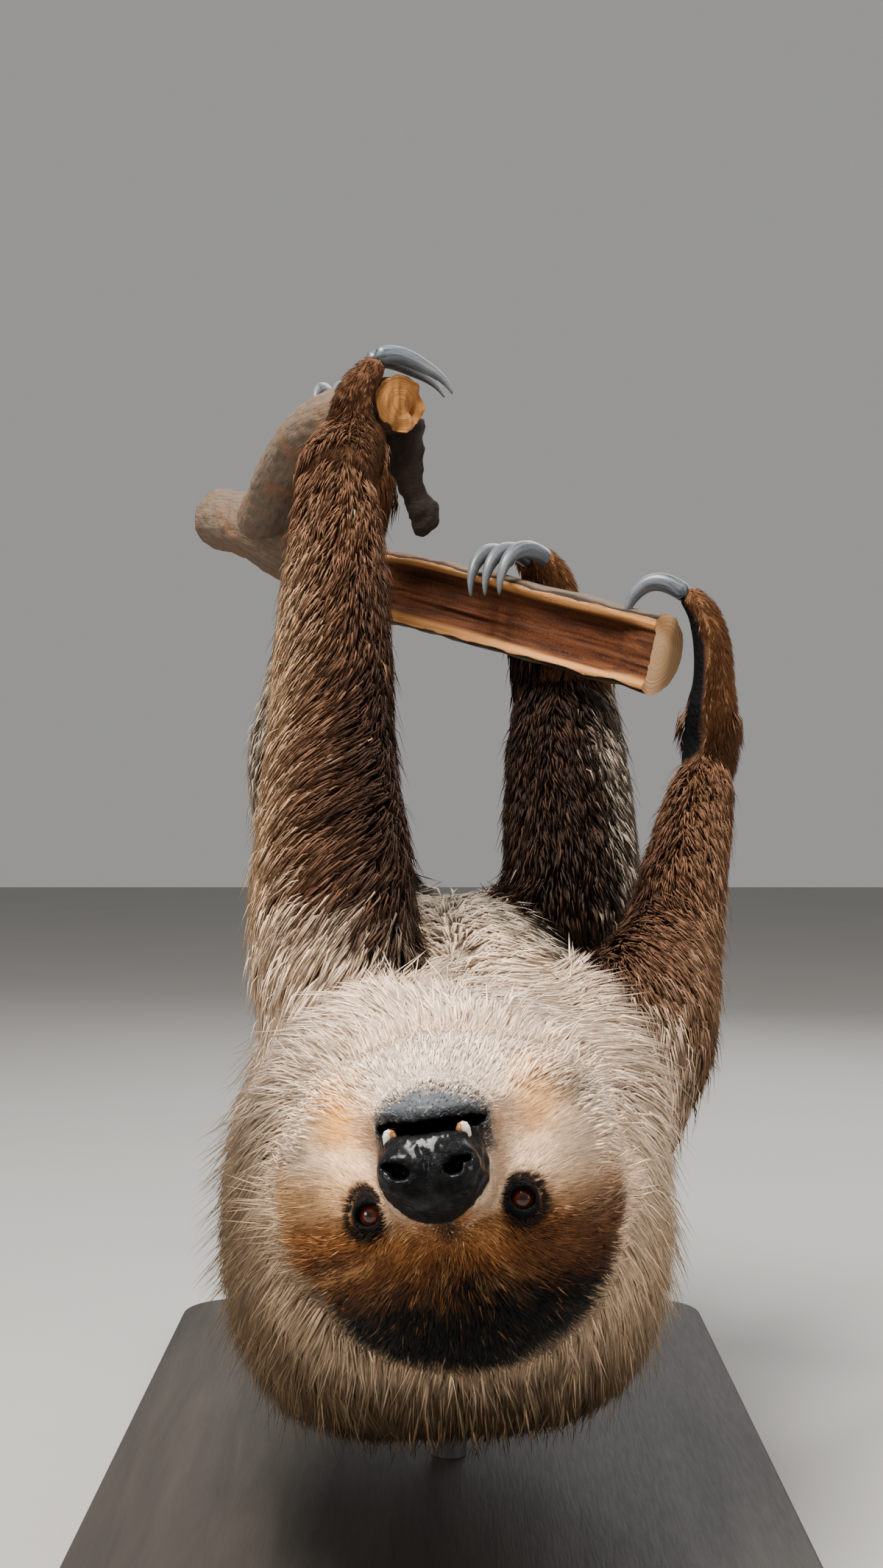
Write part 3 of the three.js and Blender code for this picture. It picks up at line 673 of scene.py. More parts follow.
def head_tone(q):
    """The colour of the hair over the head."""
    x, y, z = q.T
    wave = ripple(q, 14, 4)
    aside = np.abs(x)
    # Cream, paler towards the chin, with golden cheeks, rusty temples and a grey smudge beside the mouth.
    tone = mixed(np.broadcast_to(CREAM, q.shape), MILK, smooth(6, 30, z + wave * 3))
    warm = np.exp(-((aside - 27) / 8) ** 2 - ((z - 27) / 12) ** 2)
    tone = mixed(tone, GOLD, (0.9 - 0.1 * np.sign(x)) * warm)
    tone = mixed(tone, HONEY, 0.75 * smooth(17, 5, z + 0.12 * (x + 25)) * smooth(13, 22, aside))
    tone = mixed(tone, HONEY, 0.55 * smooth(30, 10, z) * smooth(-34, -48, x))
    tone = mixed(tone, RUST, 0.55 * smooth(8, -2, z + wave * 2) * smooth(28, 42, aside))
    smudge = np.exp(-((x - 37) / 6) ** 2 - ((z - 30) / 6) ** 2)
    smudge += 0.7 * np.exp(-((x + 44) / 7) ** 2 - ((z - 20) / 7) ** 2)
    tone = mixed(tone, GREY, 0.85 * smudge)
    # The brow is rusty, then umber, then black over the crown, with a honey flash over each eye.
    edge = wave * 2.0 - z + 0.8
    tone = mixed(tone, RUST, smooth(-1, 6, edge))
    tone = mixed(tone, GREY, 0.5 * smooth(26, 44, x) * smooth(8, -4, z))
    tone = mixed(tone, UMBER, smooth(8, 17, edge + 5 * smooth(8, 24, x)) * 0.9)
    flash = np.exp(-((np.abs(x - 1) - 12) / 3.5) ** 2 - ((z + 6 - 0.1 * aside) / 2.2) ** 2)
    tone = mixed(tone, HONEY, 0.45 * flash)
    black = edge + wave + 1.5 * smooth(10, 35, x) - 5 * smooth(-12, -35, x)
    tone = mixed(tone, SOOT, smooth(13, 27, black))
    # Streaks run out from the dark whorl at the nose's root, and gold hairs fleck the brow.
    streak = ripple(unit(q - WHORL) * 30, 4, 8) * smooth(4, -5, z)
    tone = mixed(tone, UMBER, 0.8 * smooth(0.2, 1.2, streak) * smooth(-24, -12, z))
    bright = smooth(-0.3, -1.3, streak) * smooth(-30, -12, z) * smooth(28, 10, x)
    tone = mixed(tone, HONEY, 0.45 * bright)
    tone = mixed(tone, UMBER, 0.6 * smooth(10, 28, x) * smooth(-6, -12, z) * smooth(-28, -16, z))
    gold = smooth(0.85, 1.5, ripple(q, 1.3, 9)) * smooth(-4, -14, z) * smooth(-46, -26, z)
    tone = mixed(tone, RUST, 0.75 * gold)
    near = np.linalg.norm(q - WHORL, axis=1)
    tone = mixed(tone, NIGHT, 0.8 * smooth(4.5, 0.5, np.abs(x - 2)) * smooth(15, 6, near))
    # Dark hair rings the eyes, grey hair covers the chin, and a pale ruff frames the face; its crown side is
    # painted shade.
    tone = mixed(tone, NIGHT, smooth(1.32, 0.98, lids(q) + 0.1 * wave))
    tone = mixed(tone, SLATE, lip_skin(q))
    ruff = y - 20.5 - 0.06 * x - 3.0 * smooth(-5, -30, x) * smooth(-20, -38, z) + wave * 1.5
    pale = mixed(np.broadcast_to(BEIGE, q.shape), CREAM, smooth(-30, 10, z + 0.3 * x))
    # Painted shade: the ruff darkens to dun towards the crown, the side that hangs lowest.
    pale = mixed(pale, DUN_PAINTED_SHADE, 0.85 * smooth(-4, -44, z + 0.25 * x))
    return mixed(tone, pale, smooth(-2.5, 2.5, ruff))


def limb_spot(p, name):
    """How far along a limb each point is, from 0 at the body to 1, and the way out from the middle."""
    rows = limb_rows[name][:, :3]
    nearest = np.argmin(((p[:, None, :] - rows[None]) ** 2).sum(2), axis=1)
    return nearest / (len(rows) - 1), unit(p - rows[nearest])


def body_tone(p, part):
    """The colour of the hair over the trunk and limbs."""
    x, y, z = p.T
    # Pale on the chest, greyer towards the rump; dun along the back and left flank is painted shade on a
    # darker coat.
    wave = ripple(p, 40, 5) * 0.5 + ripple(p, 15, 6) * 0.5
    chest = smooth(-170, -95, z + wave * 12) * smooth(300, 220, y)
    tone = mixed(np.broadcast_to(BEIGE, p.shape), MILK, chest)
    tone = mixed(tone, CREAM, 0.6 * smooth(150, 60, y))
    tone = mixed(tone, TAN, 0.6 * smooth(-52, -80, x) * smooth(-60, -110, z))
    tone = mixed(tone, OAT, 0.6 * smooth(100, 150, y) * smooth(320, 240, y))
    tone = mixed(tone, ASH, smooth(240, 330, y) * smooth(-150, -90, z))
    # Painted shade: darker towards the back and the left side, where the hanging body shades itself.
    shade = smooth(-104, -184, z + np.clip(x, -90, 60) * 0.6 + wave * 14) * smooth(30, 110, y)
    tone = mixed(tone, DUN_PAINTED_SHADE, 0.85 * shade)
    tone = mixed(tone, GREY, 0.35 * smooth(0.2, 1.0, wave))
    for index, name in enumerate(PARTS[1:], 1):
        mine = part == index
        if not mine.any():
            continue
        side = -1 if name.endswith("left") else 1
        t, off = limb_spot(p[mine], name)
        outer = off[:, 0] * side
        streak = ripple(p[mine] * (1, 1, 0.35), 9, 7)
        if name.startswith("arm"):
            # Brown, with tan hair down the outer side and dark hair down the inner side.
            tan_share, start = (1.0, 0.08) if side < 0 else (0.2, 0.0)
            outside = smooth(-0.15, 0.7, outer + streak * 0.25) * smooth(0.85, 0.5, t)
            hair = mixed(np.broadcast_to(BROWN, off.shape), TAN, outside * tan_share)
            hair = mixed(hair, CHOCOLATE, smooth(0.0, -0.7, outer + streak * 0.2) * smooth(0.9, 0.5, t))
            leave = t + wave[mine] * 0.04 + (outer < 0) * 0.05
            hair = mixed(tone[mine], hair, smooth(start, start + 0.18, leave))
        elif name.startswith("leg"):
            # Nearly black, with ashy hair down the outer side.
            hair = mixed(np.broadcast_to(NIGHT, off.shape), BROWN, smooth(-0.2, 0.6, streak) * 0.2)
            hair = mixed(hair, ASH, smooth(0.3, 0.85, outer + streak * 0.15) * 0.8)
            hair = mixed(tone[mine], hair, smooth(0.1, 0.3, t))
        else:
            copper = 0.04 + smooth(0.05, 0.4, t) * COPPER_SHARE[name]
            hair = mixed(np.broadcast_to(BROWN, off.shape), COPPER, copper)
            hair = mixed(hair, CHOCOLATE, 0.2 + 0.2 * np.clip(streak, -1, 1))
        tone[mine] = hair
    return tone


def palm(p, part):
    """1 on the naked inner side of the hands and feet, which closes on the perch."""
    found = np.zeros(len(p))
    for name, (_, _, out, *_) in GRIPS.items():
        mine = part == PARTS.index(name)
        if mine.any():
            t, off = limb_spot(p[mine], name)
            edge = PALM_EDGE[name]
            found[mine] = smooth(edge, edge + 0.35, -off @ unit(np.array(out)))
            if name != "hand_right":
                found[mine] *= smooth(0.4, 0.55, t)
    return found


def part_at(p):
    """The part of the body that each point belongs to."""
    g = np.clip(np.rint((p - body.low) / body.pitch), 0, body.shape - 1).astype(int)
    return body.part[tuple(g.T)]


points = points_of(skin.data)
local = to_head(points)
part = part_at(points)
reading = np.where(in_head_box(local, 1), np.abs(head.read(local)[0]), FAR)
of_head = reading < 1.2
pad, lip, ring = muzzle_pad(local), lip_skin(local), lids(local)
naked = np.maximum(pad, np.maximum(lip, smooth(0.92, 0.76, ring))) * of_head
tone = np.where(of_head[:, None], head_tone(local), body_tone(points, part)) * SKIN_SHADE
chin_tone = mixed(np.broadcast_to(LEATHER, tone.shape), LEATHER_GREY, smooth(28, 36, local[:, 2]))
tone = mixed(tone, chin_tone, lip * of_head)
tone = mixed(tone, LEATHER, np.maximum(smooth(0.0, 0.5, pad), smooth(0.98, 0.80, ring)) * of_head)
inner = (local[:, 1] < -6) & (np.abs(local[:, 2] - MOUTH_LEVEL - 0.8) < 2.4) & (skull(local) < -1.6)
tone = mixed(tone, MOUTH_DARK, (inner & of_head).astype(float))
soles = palm(points, part) * ~of_head
tone = mixed(tone, LEATHER, soles)
stain(skin.data, "tone", tone)
stain(skin.data, "bare", np.maximum(naked, soles * 0.8))
stain(skin.data, "wet", np.maximum(np.maximum(pad, lip * 0.7), inner) * of_head)
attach(skin, "root")
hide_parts("trunk", "neck", "head", "jaw", "ear_left", "ear_right",
            *(f"{length}_{side}" for length in ("upper_arm", "forearm", "hand", "thigh", "shank", "foot")
              for side in ("left", "right")))

# ---------- The eyes ----------
# Two glass balls, each held behind its lids. A deep red-brown iris rings a black pupil under the domed front,
# and the rest of the ball is nearly black.
EYE_RINGS, EYE_SIDES = 40, 48
IRIS_REACH, DOME = 3.3, 0.45


def closed(rings, sides):
    """Outward triangles over a stack of rings, whose points are followed by those of its two ends."""
    first = rings * sides
    faces = []
    for j in range(sides):
        k = (j + 1) % sides
        for a in range(0, first - sides, sides):
            b = a + sides
            faces += [(a + j, a + k, b + k), (a + j, b + k, b + j)]
        faces += [(first, k, j), (first + 1, first - sides + j, first - sides + k)]
    return np.array(faces)


eye_glass, wires, shader = material("eye_glass", roughness=0.05)
ring = wires.node("Attribute", {"attribute_name": "ring"}, output=2)
space = wires.node("TexCoord", output=3)
fleck = wires.node("TexNoise", inputs={"Vector": space, "Scale": 900.0, "Detail": 3.0})
iris = wires.node("ValToRGB", {"stops": ((0.0, (0.004, 0.002, 0.001)), (0.16, (0.008, 0.003, 0.002)),
                                         (0.24, (0.040, 0.008, 0.004)), (0.50, (0.060, 0.012, 0.005)),
                                         (0.60, (0.012, 0.005, 0.004)), (0.9, (0.012, 0.008, 0.007)))},
                  {"Fac": ring + (fleck - 0.5) * 0.12})
feed(wires, shader, base_color=iris)
for name, side in (("eye_left", -1), ("eye_right", 1)):
    centre, across, lift, out = eye_frame(side)
    turn = np.linspace(math.pi, 0, EYE_RINGS + 1)[1:-1, None, None]
    spin = (np.arange(EYE_SIDES) * 2 * math.pi / EYE_SIDES)[:, None]
    reach = EYE_RADIUS * np.sin(turn)
    swell = DOME * smooth(IRIS_REACH + 0.6, 0.0, reach) * (turn < math.pi / 2)
    rings = (across * np.cos(spin) + lift * np.sin(spin)) * reach
    rings = rings + out * (EYE_RADIUS * np.cos(turn) + swell)
    ball = np.vstack((rings.reshape(-1, 3), -out * EYE_RADIUS, out * (EYE_RADIUS + DOME)))
    eye = mesh_of(name + "_ball", from_head(ball + centre), closed(len(rings), EYE_SIDES), eye_glass)
    off_axis = np.linalg.norm(ball - np.outer(ball @ out, out), axis=1) / EYE_RADIUS
    stain(eye.data, "ring", np.where(ball @ out > 0, off_axis, 1.0))
    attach(eye, "root")
    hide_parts(name)

# ---------- The coat ----------
# Coarse guard hair in flat, pointed locks, rooted in the skin and lying along it: two millimetres long at
# the lips, short and sleek on the face, and four centimetres on the flanks. It parts along the belly and
# falls towards the back, as on every animal that lives upside down.
LOCK_FLATNESS, ROOT_DEPTH, LOOSE_SHARE = 0.38, 0.7, 0.06
NAPE_FILLET = 9.0
PATCH = 0.003

coat, wires, shader = material("coat", specular_ior_level=0.10)
space = wires.node("TexCoord", output=3)
tone = wires.node("Attribute", {"attribute_name": "tone"})
strand = wires.node("TexNoise", inputs={"Vector": space, "Scale": 700.0, "Detail": 2.0})
shade = wires.blend("MIX", (0.78, 0.78, 0.78), (1.2, 1.2, 1.2), strand)
feed(wires, shader, base_color=wires.blend("MULTIPLY", tone, shade), roughness=strand * 0.3 + 0.42)


def scatter(points, faces, share, count, seed):
    """Places strewn evenly over a surface of four-cornered faces, thicker where share is greater."""
    faces = np.vstack((faces[:, (0, 1, 2)], faces[:, (0, 2, 3)]))
    order = np.argsort(np.tile(np.arange(len(faces) // 2), 2), kind="stable")
    a, b, c = (points[faces[order, k]] for k in range(3))
    total = np.cumsum(np.linalg.norm(np.cross(b - a, c - a), axis=1) * share((a + b + c) / 3))
    draw = np.random.default_rng(seed)
    pick = np.searchsorted(total, (np.arange(count) + draw.random(count)) / count * total[-1])
    pick = np.minimum(pick, len(a) - 1)
    u, v = draw.random((2, count, 1))
    u, v = np.where(u + v > 1, 1 - u, u), np.where(u + v > 1, 1 - v, v)
    return a[pick] + (b - a)[pick] * u + (c - a)[pick] * v


def over_head(q):
    """How far each place is outside head and body together, in the head's frame, and the way out."""
    near, out = head.read(q)
    far, out_far = body.read(from_head(q))
    share = np.clip(0.5 + (far - near) / NAPE_FILLET / 2, 0, 1)
    share = np.maximum(share, smooth(12, 2, q[:, 2]) * smooth(34, 18, q[:, 1]))
    depth = far + (near - far) * share - NAPE_FILLET * share * (1 - share)
    return depth, unit(out_far @ HEAD_TURN * (1 - share)[:, None] + out * share[:, None])


def comb(roots, read, length, rise, flow, steps, stray, draw):
    """Centre lines that run from the roots along the flow and lift to `rise` over the skin at the tips."""
    here, out = roots, read(roots)[1]
    line = [roots - out * ROOT_DEPTH]
    wander = draw.normal(size=roots.shape) * stray
    strides = steps * 2
    for k in range(1, strides + 1):
        way = flow(here, out) + wander
        way = unit(way - out * (way * out).sum(1, keepdims=True))
        here = here + way * (length / strides)[:, None]
        depth, out = read(here)
        height = rise * (1 - (1 - k / strides) ** 1.7)
        here = here + out * np.clip(height - depth, -9, 9)[:, None]
        if k % 2 == 0:
            line.append(here)
    return np.array(line)


def gather(line, size, pull):
    """Draws the outer ends of neighbouring hairs together into tufts about `size` across."""
    shift = np.stack([ripple(line[0], size * 4, seed) for seed in (11, 12, 13)], 1) * size * 0.5
    cells = np.floor((line[0] + shift) / size).astype(int)
    inverse = np.unique(cells, axis=0, return_inverse=True)[1].ravel()
    count = np.bincount(inverse)
    for k in range(1, len(line)):
        middle = np.stack([np.bincount(inverse, line[k][:, axis]) / count for axis in range(3)], 1)
        share = (pull * (k / (len(line) - 1)) ** 1.4)[:, None]
        line[k] += share * (middle[inverse] - line[k])
    return line


def locks(name, line, out, width, root_tone, tip_tone, unwrapped):
    """One coat piece: along each centre line a closed, pointed, three-sided lock that starts in the skin."""
    steps, count = len(line) - 1, line.shape[1]
    points, tones, patches = [], [], []

    def add(place, t, u):
        points.append(place)
        tones.append(mixed(root_tone, tip_tone, np.full(count, t ** 0.7)))
        patches.append(unwrapped + PATCH * np.array((u, t - 0.5)))

    rings = range(min(1, steps - 1), steps)
    if rings[0] == 1:
        add(line[0], 0.0, 0.0)
    for k in rings:
        tangent = unit(line[k + 1] - line[max(k - 1, 0)])
        across = unit(np.cross(tangent, out))
        top = np.cross(across, tangent)
        half = (width * (0.5 - 0.14 * (k - rings[0])))[:, None]
        add(line[k] + across * half, k / steps, -0.5)
        add(line[k] - across * half, k / steps, 0.5)
        add(line[k] + top * half * 2 * LOCK_FLATNESS, k / steps, 0.0)
    add(line[steps], 1.0, 0.0)
    start, last = rings[0], len(points) - 1
    if start == 0:
        faces = [(0, 2, 1)]
    else:
        faces = [(0, 1 + (j + 1) % 3, 1 + j) for j in range(3)]
    for ring in range(start, last - 3, 3):
        for j in range(3):
            a, b = ring + j, ring + (j + 1) % 3
            faces += [(a, b, b + 3), (a, b + 3, a + 3)]
    faces += [(last - 3 + j, last - 3 + (j + 1) % 3, last) for j in range(3)]
    each = len(points)
    faces = (np.array(faces)[None] + each * np.arange(count)[:, None, None]).reshape(-1, 3)
    piece = mesh_of(name, np.stack(points, 1).reshape(-1, 3), faces, coat)
    stain(piece.data, "tone", np.stack(tones, 1).reshape(-1, 3))
    layer = piece.data.uv_layers.new(name="OFBake")
    patch = np.stack(patches, 1).reshape(-1, 2)
    layer.data.foreach_set("uv", patch[faces.ravel()].astype(np.float32).ravel())
    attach(piece, "root")


def grown(name, surface, read, place, zone, count, length, rise, width, flow, tone, unwrap, steps,
          seed, stray=0.12, tuft=3.0, pull=0.45, grizzle=0.25, sag=0.0, shadow=0.45, stir=None):
    """A coat piece sown over a zone of a surface. Its tones are read within about `stir` of each root."""
    draw = np.random.default_rng(seed)
    roots = scatter(*surface, zone, count, seed)
    out = read(roots)[1]
    loose = draw.random(count) < LOOSE_SHARE
    long = length(roots) * draw.uniform(0.7, 1.2, count)
    lift = rise(roots) * draw.uniform(0.6, 1.3, count) * np.where(loose, 1.35, 1.0)
    line = comb(roots, read, long, lift, flow, steps, stray, draw)
    line = gather(line, tuft, np.where(loose, 0.0, pull) * draw.uniform(0.6, 1.3, count))
    line[1:, :, 2] -= sag * (np.arange(1, steps + 1) / steps)[:, None] ** 2 * long
    spread = stir(roots) if stir else 2.4
    near = roots + draw.normal(size=roots.shape) * draw.exponential(spread, count)[:, None]
    base = tone(near) * np.clip(1 + 0.13 * ripple(roots, 4, seed), 0.7, 1.3)[:, None]
    light = np.exp(draw.normal(-0.06, 0.2, (count, 1)))
    pale = np.where(draw.random((count, 1)) < grizzle, 1.45, 1.0)
    places = place(line.reshape(-1, 3)).reshape(line.shape)
    # Each lock is darker at its root by shadow: painted shade deep in the coat, between the locks.
    locks(name, places, place(roots + out) - place(roots),
          width(roots) * draw.uniform(0.7, 1.3, count) * np.where(loose, 0.6, 1.0), base * light * shadow,
          base * light * pale, unwrap(roots))


head_surface, body_surface = head.skin(), body.skin()


def unroll_head(q):
    """The head unrolled about the line through its ears."""
    d = unit(q - (0, 30, 4))
    turn = np.arctan2(d[:, 2], -d[:, 1]) / (2 * math.pi)
    return np.stack((0.5 + 0.98 * turn, 0.01 + 0.98 * np.arccos(d[:, 0]) / math.pi), 1)


def head_flow(q, out):
    """Away from the muzzle, and below the eyes away from the whorl at the nose's root."""
    source = np.stack((q[:, 0] * 0, q[:, 0] * 0 - 42, 0.75 * np.clip(q[:, 2], -5, 30)), 1)
    source = mixed(source, WHORL, smooth(3, -7, q[:, 2]))
    way = unit(q - source)
    for side in (-1, 1):
        centre = eye_frame(side)[0]
        off = q - centre
        near = np.linalg.norm(off, axis=1, keepdims=True)
        way = way + 0.7 * unit(off) * np.exp(-(near / 10) ** 2)
    swirl = np.stack([ripple(q, 16, seed) for seed in (21, 22, 23)], 1)
    return way + 0.16 * swirl


def coated(q):
    """How thickly each place on the head is haired, out of 1."""
    outside = body.read(from_head(q))[0] > -1.5
    bare = np.maximum(muzzle_pad(q), smooth(0.86, 0.74, lids(q)))
    inner = (q[:, 1] < -6) & (np.abs(q[:, 2] - MOUTH_LEVEL - 0.8) < 3.0) & (skull(q) < -0.8)
    return outside * ~inner * (bare < 0.5) * (0.14 + 0.86 * (1 - lip_skin(q)) ** 2)


def head_length(q):
    """How long the hair of the head is."""
    away = np.linalg.norm(q - (0, -30, 12), axis=1)
    long = np.interp(away, (14, 22, 34, 50, 66, 90), (2.0, 3.5, 6.5, 9.5, 12.5, 17))
    long = long * (1 + 0.6 * smooth(8, 26, q[:, 2]) * smooth(40, 60, away))
    return long * (0.4 + 0.6 * smooth(0.7, 2.0, lids(q))) * (1 - 0.45 * lip_skin(q))


def head_rise(q):
    """How far its tips stand off the skin."""
    edge = smooth(-30, -46, q[:, 0]) * smooth(-30, -12, q[:, 2]) * smooth(25, 12, q[:, 2])
    return head_length(q) * (0.28 + 0.12 * smooth(0, 25, q[:, 1]) + 0.3 * edge)


def head_width(q):
    """How wide its locks are at the root."""
    return np.interp(head_length(q), (2, 10, 24), (0.38, 0.62, 1.2))


HEAD_ZONES = {
    # its finish, how many locks, in how many lengths, and where it fades in and out along y and along z
    "coat_face": ("coat_pale", 46000, 1, (-60, -59), (22, 6), (-10, -2), (36, 28)),
    "coat_brow": ("coat_crown", 27000, 2, (-60, -59), (28, 16), (-60, -59), (-2, -10)),
    "coat_cheeks": ("coat_pale", 19000, 2, (6, 22), (110, 109), (-12, -4), (36, 28)),
    "coat_throat": ("coat_pale", 21000, 2, (-60, -59), (66, 56), (28, 36), (80, 79)),
    "coat_nape": ("coat_pale", 10000, 2, (16, 28), (110, 109), (-60, -59), (-4, -12)),
}
for seed, (name, (slot, count, steps, front, back, top, low)) in enumerate(HEAD_ZONES.items()):
    grown(name, head_surface, over_head, from_head,
          lambda q: coated(q) * smooth(*front, q[:, 1]) * smooth(*back, q[:, 1]) * smooth(*top, q[:, 2])
          * smooth(*low, q[:, 2]),
          count, head_length, head_rise, head_width, head_flow, head_tone, unroll_head, steps, seed,
          tuft=2.4, pull=0.4, stray=0.16, shadow=0.34, stir=lambda q: 1.2 * smooth(1.1, 2.4, lids(q)))


def trunk_zone(low, high, side):
    """A share of the trunk between two distances back, on one side (-1, 1)."""
    def share(p):
        q = to_head(p)
        clear = (head.read(q)[0] > -1.0) | ~in_head_box(q, 2)
        mine = (part_at(p) == 0) & (p[:, 1] >= low) & (p[:, 1] < high) & ((p[:, 0] - 4) * side >= 0)
        return mine * clear
    return share


def trunk_flow(p, out):
    """Down both sides from a parting along the belly, and outwards from the throat at the shoulders."""
    x, y, z = p.T
    radial = unit(np.stack((x - 3, x * 0, z + 148), 1)) + (0, 0.6, 0)
    front, top = smooth(165, 70, y), smooth(-135, -95, z)
    down = np.stack((x * 0, x * 0 + 0.3, x * 0 - 1), 1)
    way = down * (1 - 0.85 * front * top)[:, None] + radial * (front * (0.45 + 0.75 * top))[:, None]
    way[:, 0] += np.tanh((x - 4) / 14) * 0.7 * smooth(0.3, 1.0, out[:, 2]) * (1 - front)
    swirl = np.stack([ripple(p, 38, seed) for seed in (31, 32, 33)], 1)
    return way + 0.25 * swirl


def trunk_length(p):
    """How long the hair of the trunk is: shorter along the belly."""
    long = np.interp(p[:, 1], (60, 120, 200, 420, 520), (22, 28, 38, 44, 36))
    return long * (1 - 0.3 * smooth(-110, -70, p[:, 2]))


def unroll_trunk(p):
    """The trunk unrolled about its long axis."""
    turn = np.arctan2(p[:, 0] - 4, -(p[:, 2] + 152)) / (2 * math.pi)
    return np.stack((0.5 + 0.98 * turn, np.clip((p[:, 1] - 20) / 545, 0.01, 0.99)), 1)


def trunk_rise(p):
    """How far the tips stand off: most on the left side, and little along the belly."""
    rise = np.interp(p[:, 0], (-70, -30, 30, 70), (22, 17, 14, 15))
    return rise * (1 - 0.45 * smooth(-110, -70, p[:, 2])) * smooth(-20, 70, p[:, 1])


def hair_tone(p):
    """The colour of the hair at places on the trunk or limbs."""
    return body_tone(p, part_at(p))


TRUNK_ZONES = {
    # where it starts and ends along y, on which side, how many locks, in how many lengths, and how wide
    "coat_shoulder_left": (0, 185, -1, 17000, 2, 1.25),
    "coat_shoulder_right": (0, 185, 1, 16000, 2, 1.25),
    "coat_flank_left": (180, 560, -1, 19000, 2, 1.8),
    "coat_flank_right": (180, 560, 1, 19000, 2, 1.8),
}
for seed, (name, (low, high, side, count, steps, width)) in enumerate(TRUNK_ZONES.items(), 10):
    grown(name, body_surface, guide.read, lambda p: p, trunk_zone(low, high, side), count,
          trunk_length, trunk_rise, lambda p: np.full(len(p), width), trunk_flow, hair_tone, unroll_trunk,
          steps, seed, tuft=7.0, sag=0.1)


def limb_flow(name, out_share):
    """Back along a limb from its far end, with a pull outwards."""
    rows = limb_rows[name][:, :3]
    tangents = unit(np.gradient(rows, axis=0))
    side = -1 if name.endswith("left") else 1

    def flow(p, out):
        nearest = np.argmin(((p[:, None] - rows[None]) ** 2).sum(2), axis=1)
        way = -tangents[nearest] + np.array((0, 0, -0.35))
        way[:, 0] += side * np.interp(nearest / (len(rows) - 1), (0, 0.35, 0.55, 1), out_share)
        swirl = np.stack([ripple(p, 17, seed) for seed in (41, 42, 43)], 1)
        return way + 0.3 * swirl
    return flow


def unroll_limb(name):
    """A limb unrolled about its long axis."""
    def unroll(p):
        t, off = limb_spot(p, name)
        turn = np.arctan2(off[:, 0], off[:, 1] + off[:, 2] * 0.3) / (2 * math.pi)
        return np.stack((0.5 + 0.98 * turn, np.clip(t, 0.01, 0.99)), 1)
    return unroll


def limb_zone(name):
    """The haired part of a limb."""
    index = PARTS.index(name)
    return lambda p: (part_at(p) == index) * (palm(p, part_at(p)) < 0.35)


LIMB_RISE = 0.26
LIMB_ZONES = {
    # how many locks, in how many lengths, how long at the body and at the far end, how wide, and how hard
    # they pull outwards on the way from the body to the far end
    "arm_left": (20000, 2, (37, 20), 1.0, (0.5, 1.5, 0.35, 0.1)),
    "arm_right": (16000, 2, (34, 18), 1.0, (0.3, 0.6, 0.2, 0.0)),
    "leg_left": (9000, 2, (34, 22), 1.5, (0.3, 0.3, 0.2, 0.0)),
    "leg_right": (12000, 2, (34, 22), 1.4, (0.3, 0.3, 0.2, 0.0)),
    "hand_left": (6000, 1, (13, 6), 0.8, (0, 0, 0, 0)),
    "hand_right": (5500, 1, (12, 6), 0.8, (0, 0, 0, 0)),
    "foot_left": (3500, 1, (14, 7), 1.0, (0, 0, 0, 0)),
    "foot_right": (5500, 1, (14, 7), 0.9, (0, 0, 0, 0)),
}
for seed, (name, (count, steps, (near, far), width, pull_out)) in enumerate(LIMB_ZONES.items(), 30):
    grown("coat_" + name, body_surface, guide.read, lambda p: p, limb_zone(name), count,
          lambda p: near + (far - near) * limb_spot(p, name)[0],
          lambda p: (near + (far - near) * limb_spot(p, name)[0]) * LIMB_RISE,
          lambda p: np.full(len(p), width), limb_flow(name, pull_out), hair_tone, unroll_limb(name),
          steps, seed, tuft=5.0, grizzle=0.2, shadow=0.55)

# ---------- The teeth ----------
# Two peg-like teeth of pale enamel, rooted in the upper jaw on each side just inside the lip. They narrow to
# a worn tip and are stained brown by leaves.


def loft(rows, across, sides, cap=1.0):
    """A closed form through oval rings: points and triangles. Each row is x, y, z and two half widths."""
    tangent = unit(np.gradient(rows[:, :3], axis=0))
    side = unit(across - tangent * (tangent @ np.asarray(across, float))[:, None])
    other = np.cross(tangent, side)
    spin = (np.arange(sides) * 2 * math.pi / sides)[:, None]
    middle, wide, thick = rows[:, None, :3], rows[:, None, 3, None], rows[:, None, 4, None]
    rings = middle + side[:, None] * (np.cos(spin) * wide) + other[:, None] * (np.sin(spin) * thick)
    start = rows[0, :3] - tangent[0] * rows[0, 4] * cap
    end = rows[-1, :3] + tangent[-1] * rows[-1, 4] * cap
    return np.vstack((rings.reshape(-1, 3), start, end)), closed(len(rows), sides)


enamel, wires, shader = material("tooth_enamel", roughness=0.3, coat_weight=0.4)
grain = wires.node("Attribute", {"attribute_name": "grain"}, output=1)
stripe = wires.node("TexNoise", inputs={"Vector": grain, "Scale": 5.0, "Detail": 3.0})
reach = wires.node("SeparateXYZ", inputs={0: grain}, output=0)
stained = wires.node("MapRange", inputs={"Value": stripe + reach * 0.25, "From Min": 0.42, "From Max": 0.58})
feed(wires, shader, base_color=wires.blend("MIX", (0.62, 0.58, 0.5), (0.26, 0.10, 0.025), stained))
TOOTH_SPREAD, TOOTH_RINGS, TOOTH_SIDES, TOOTH_CAP = 11.5, 14, 16, 0.6
TOOTH = [
    # back, along the jaw, half width and half thickness, from the root to the tip
    (-33.5, 22.8, 2.3, 1.9), (-34.5, 25.2, 2.2, 1.7), (-35, 26.7, 1.5, 1.1),
]
for name, side in (("tooth_left", -1), ("tooth_right", 1)):
    rows = along([(side * TOOTH_SPREAD, *row) for row in TOOTH], TOOTH_RINGS)
    points, faces = loft(rows, (1, 0, 0), TOOTH_SIDES, TOOTH_CAP)
    tooth = mesh_of(name + "_peg", from_head(points), faces, enamel)
    x, y, z = points.T
    stain(tooth.data, "grain", np.stack((TOOTH_SPREAD - side * x, y * 0.2, z * 0.1), 1))
    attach(tooth, "root")
    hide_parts(name)

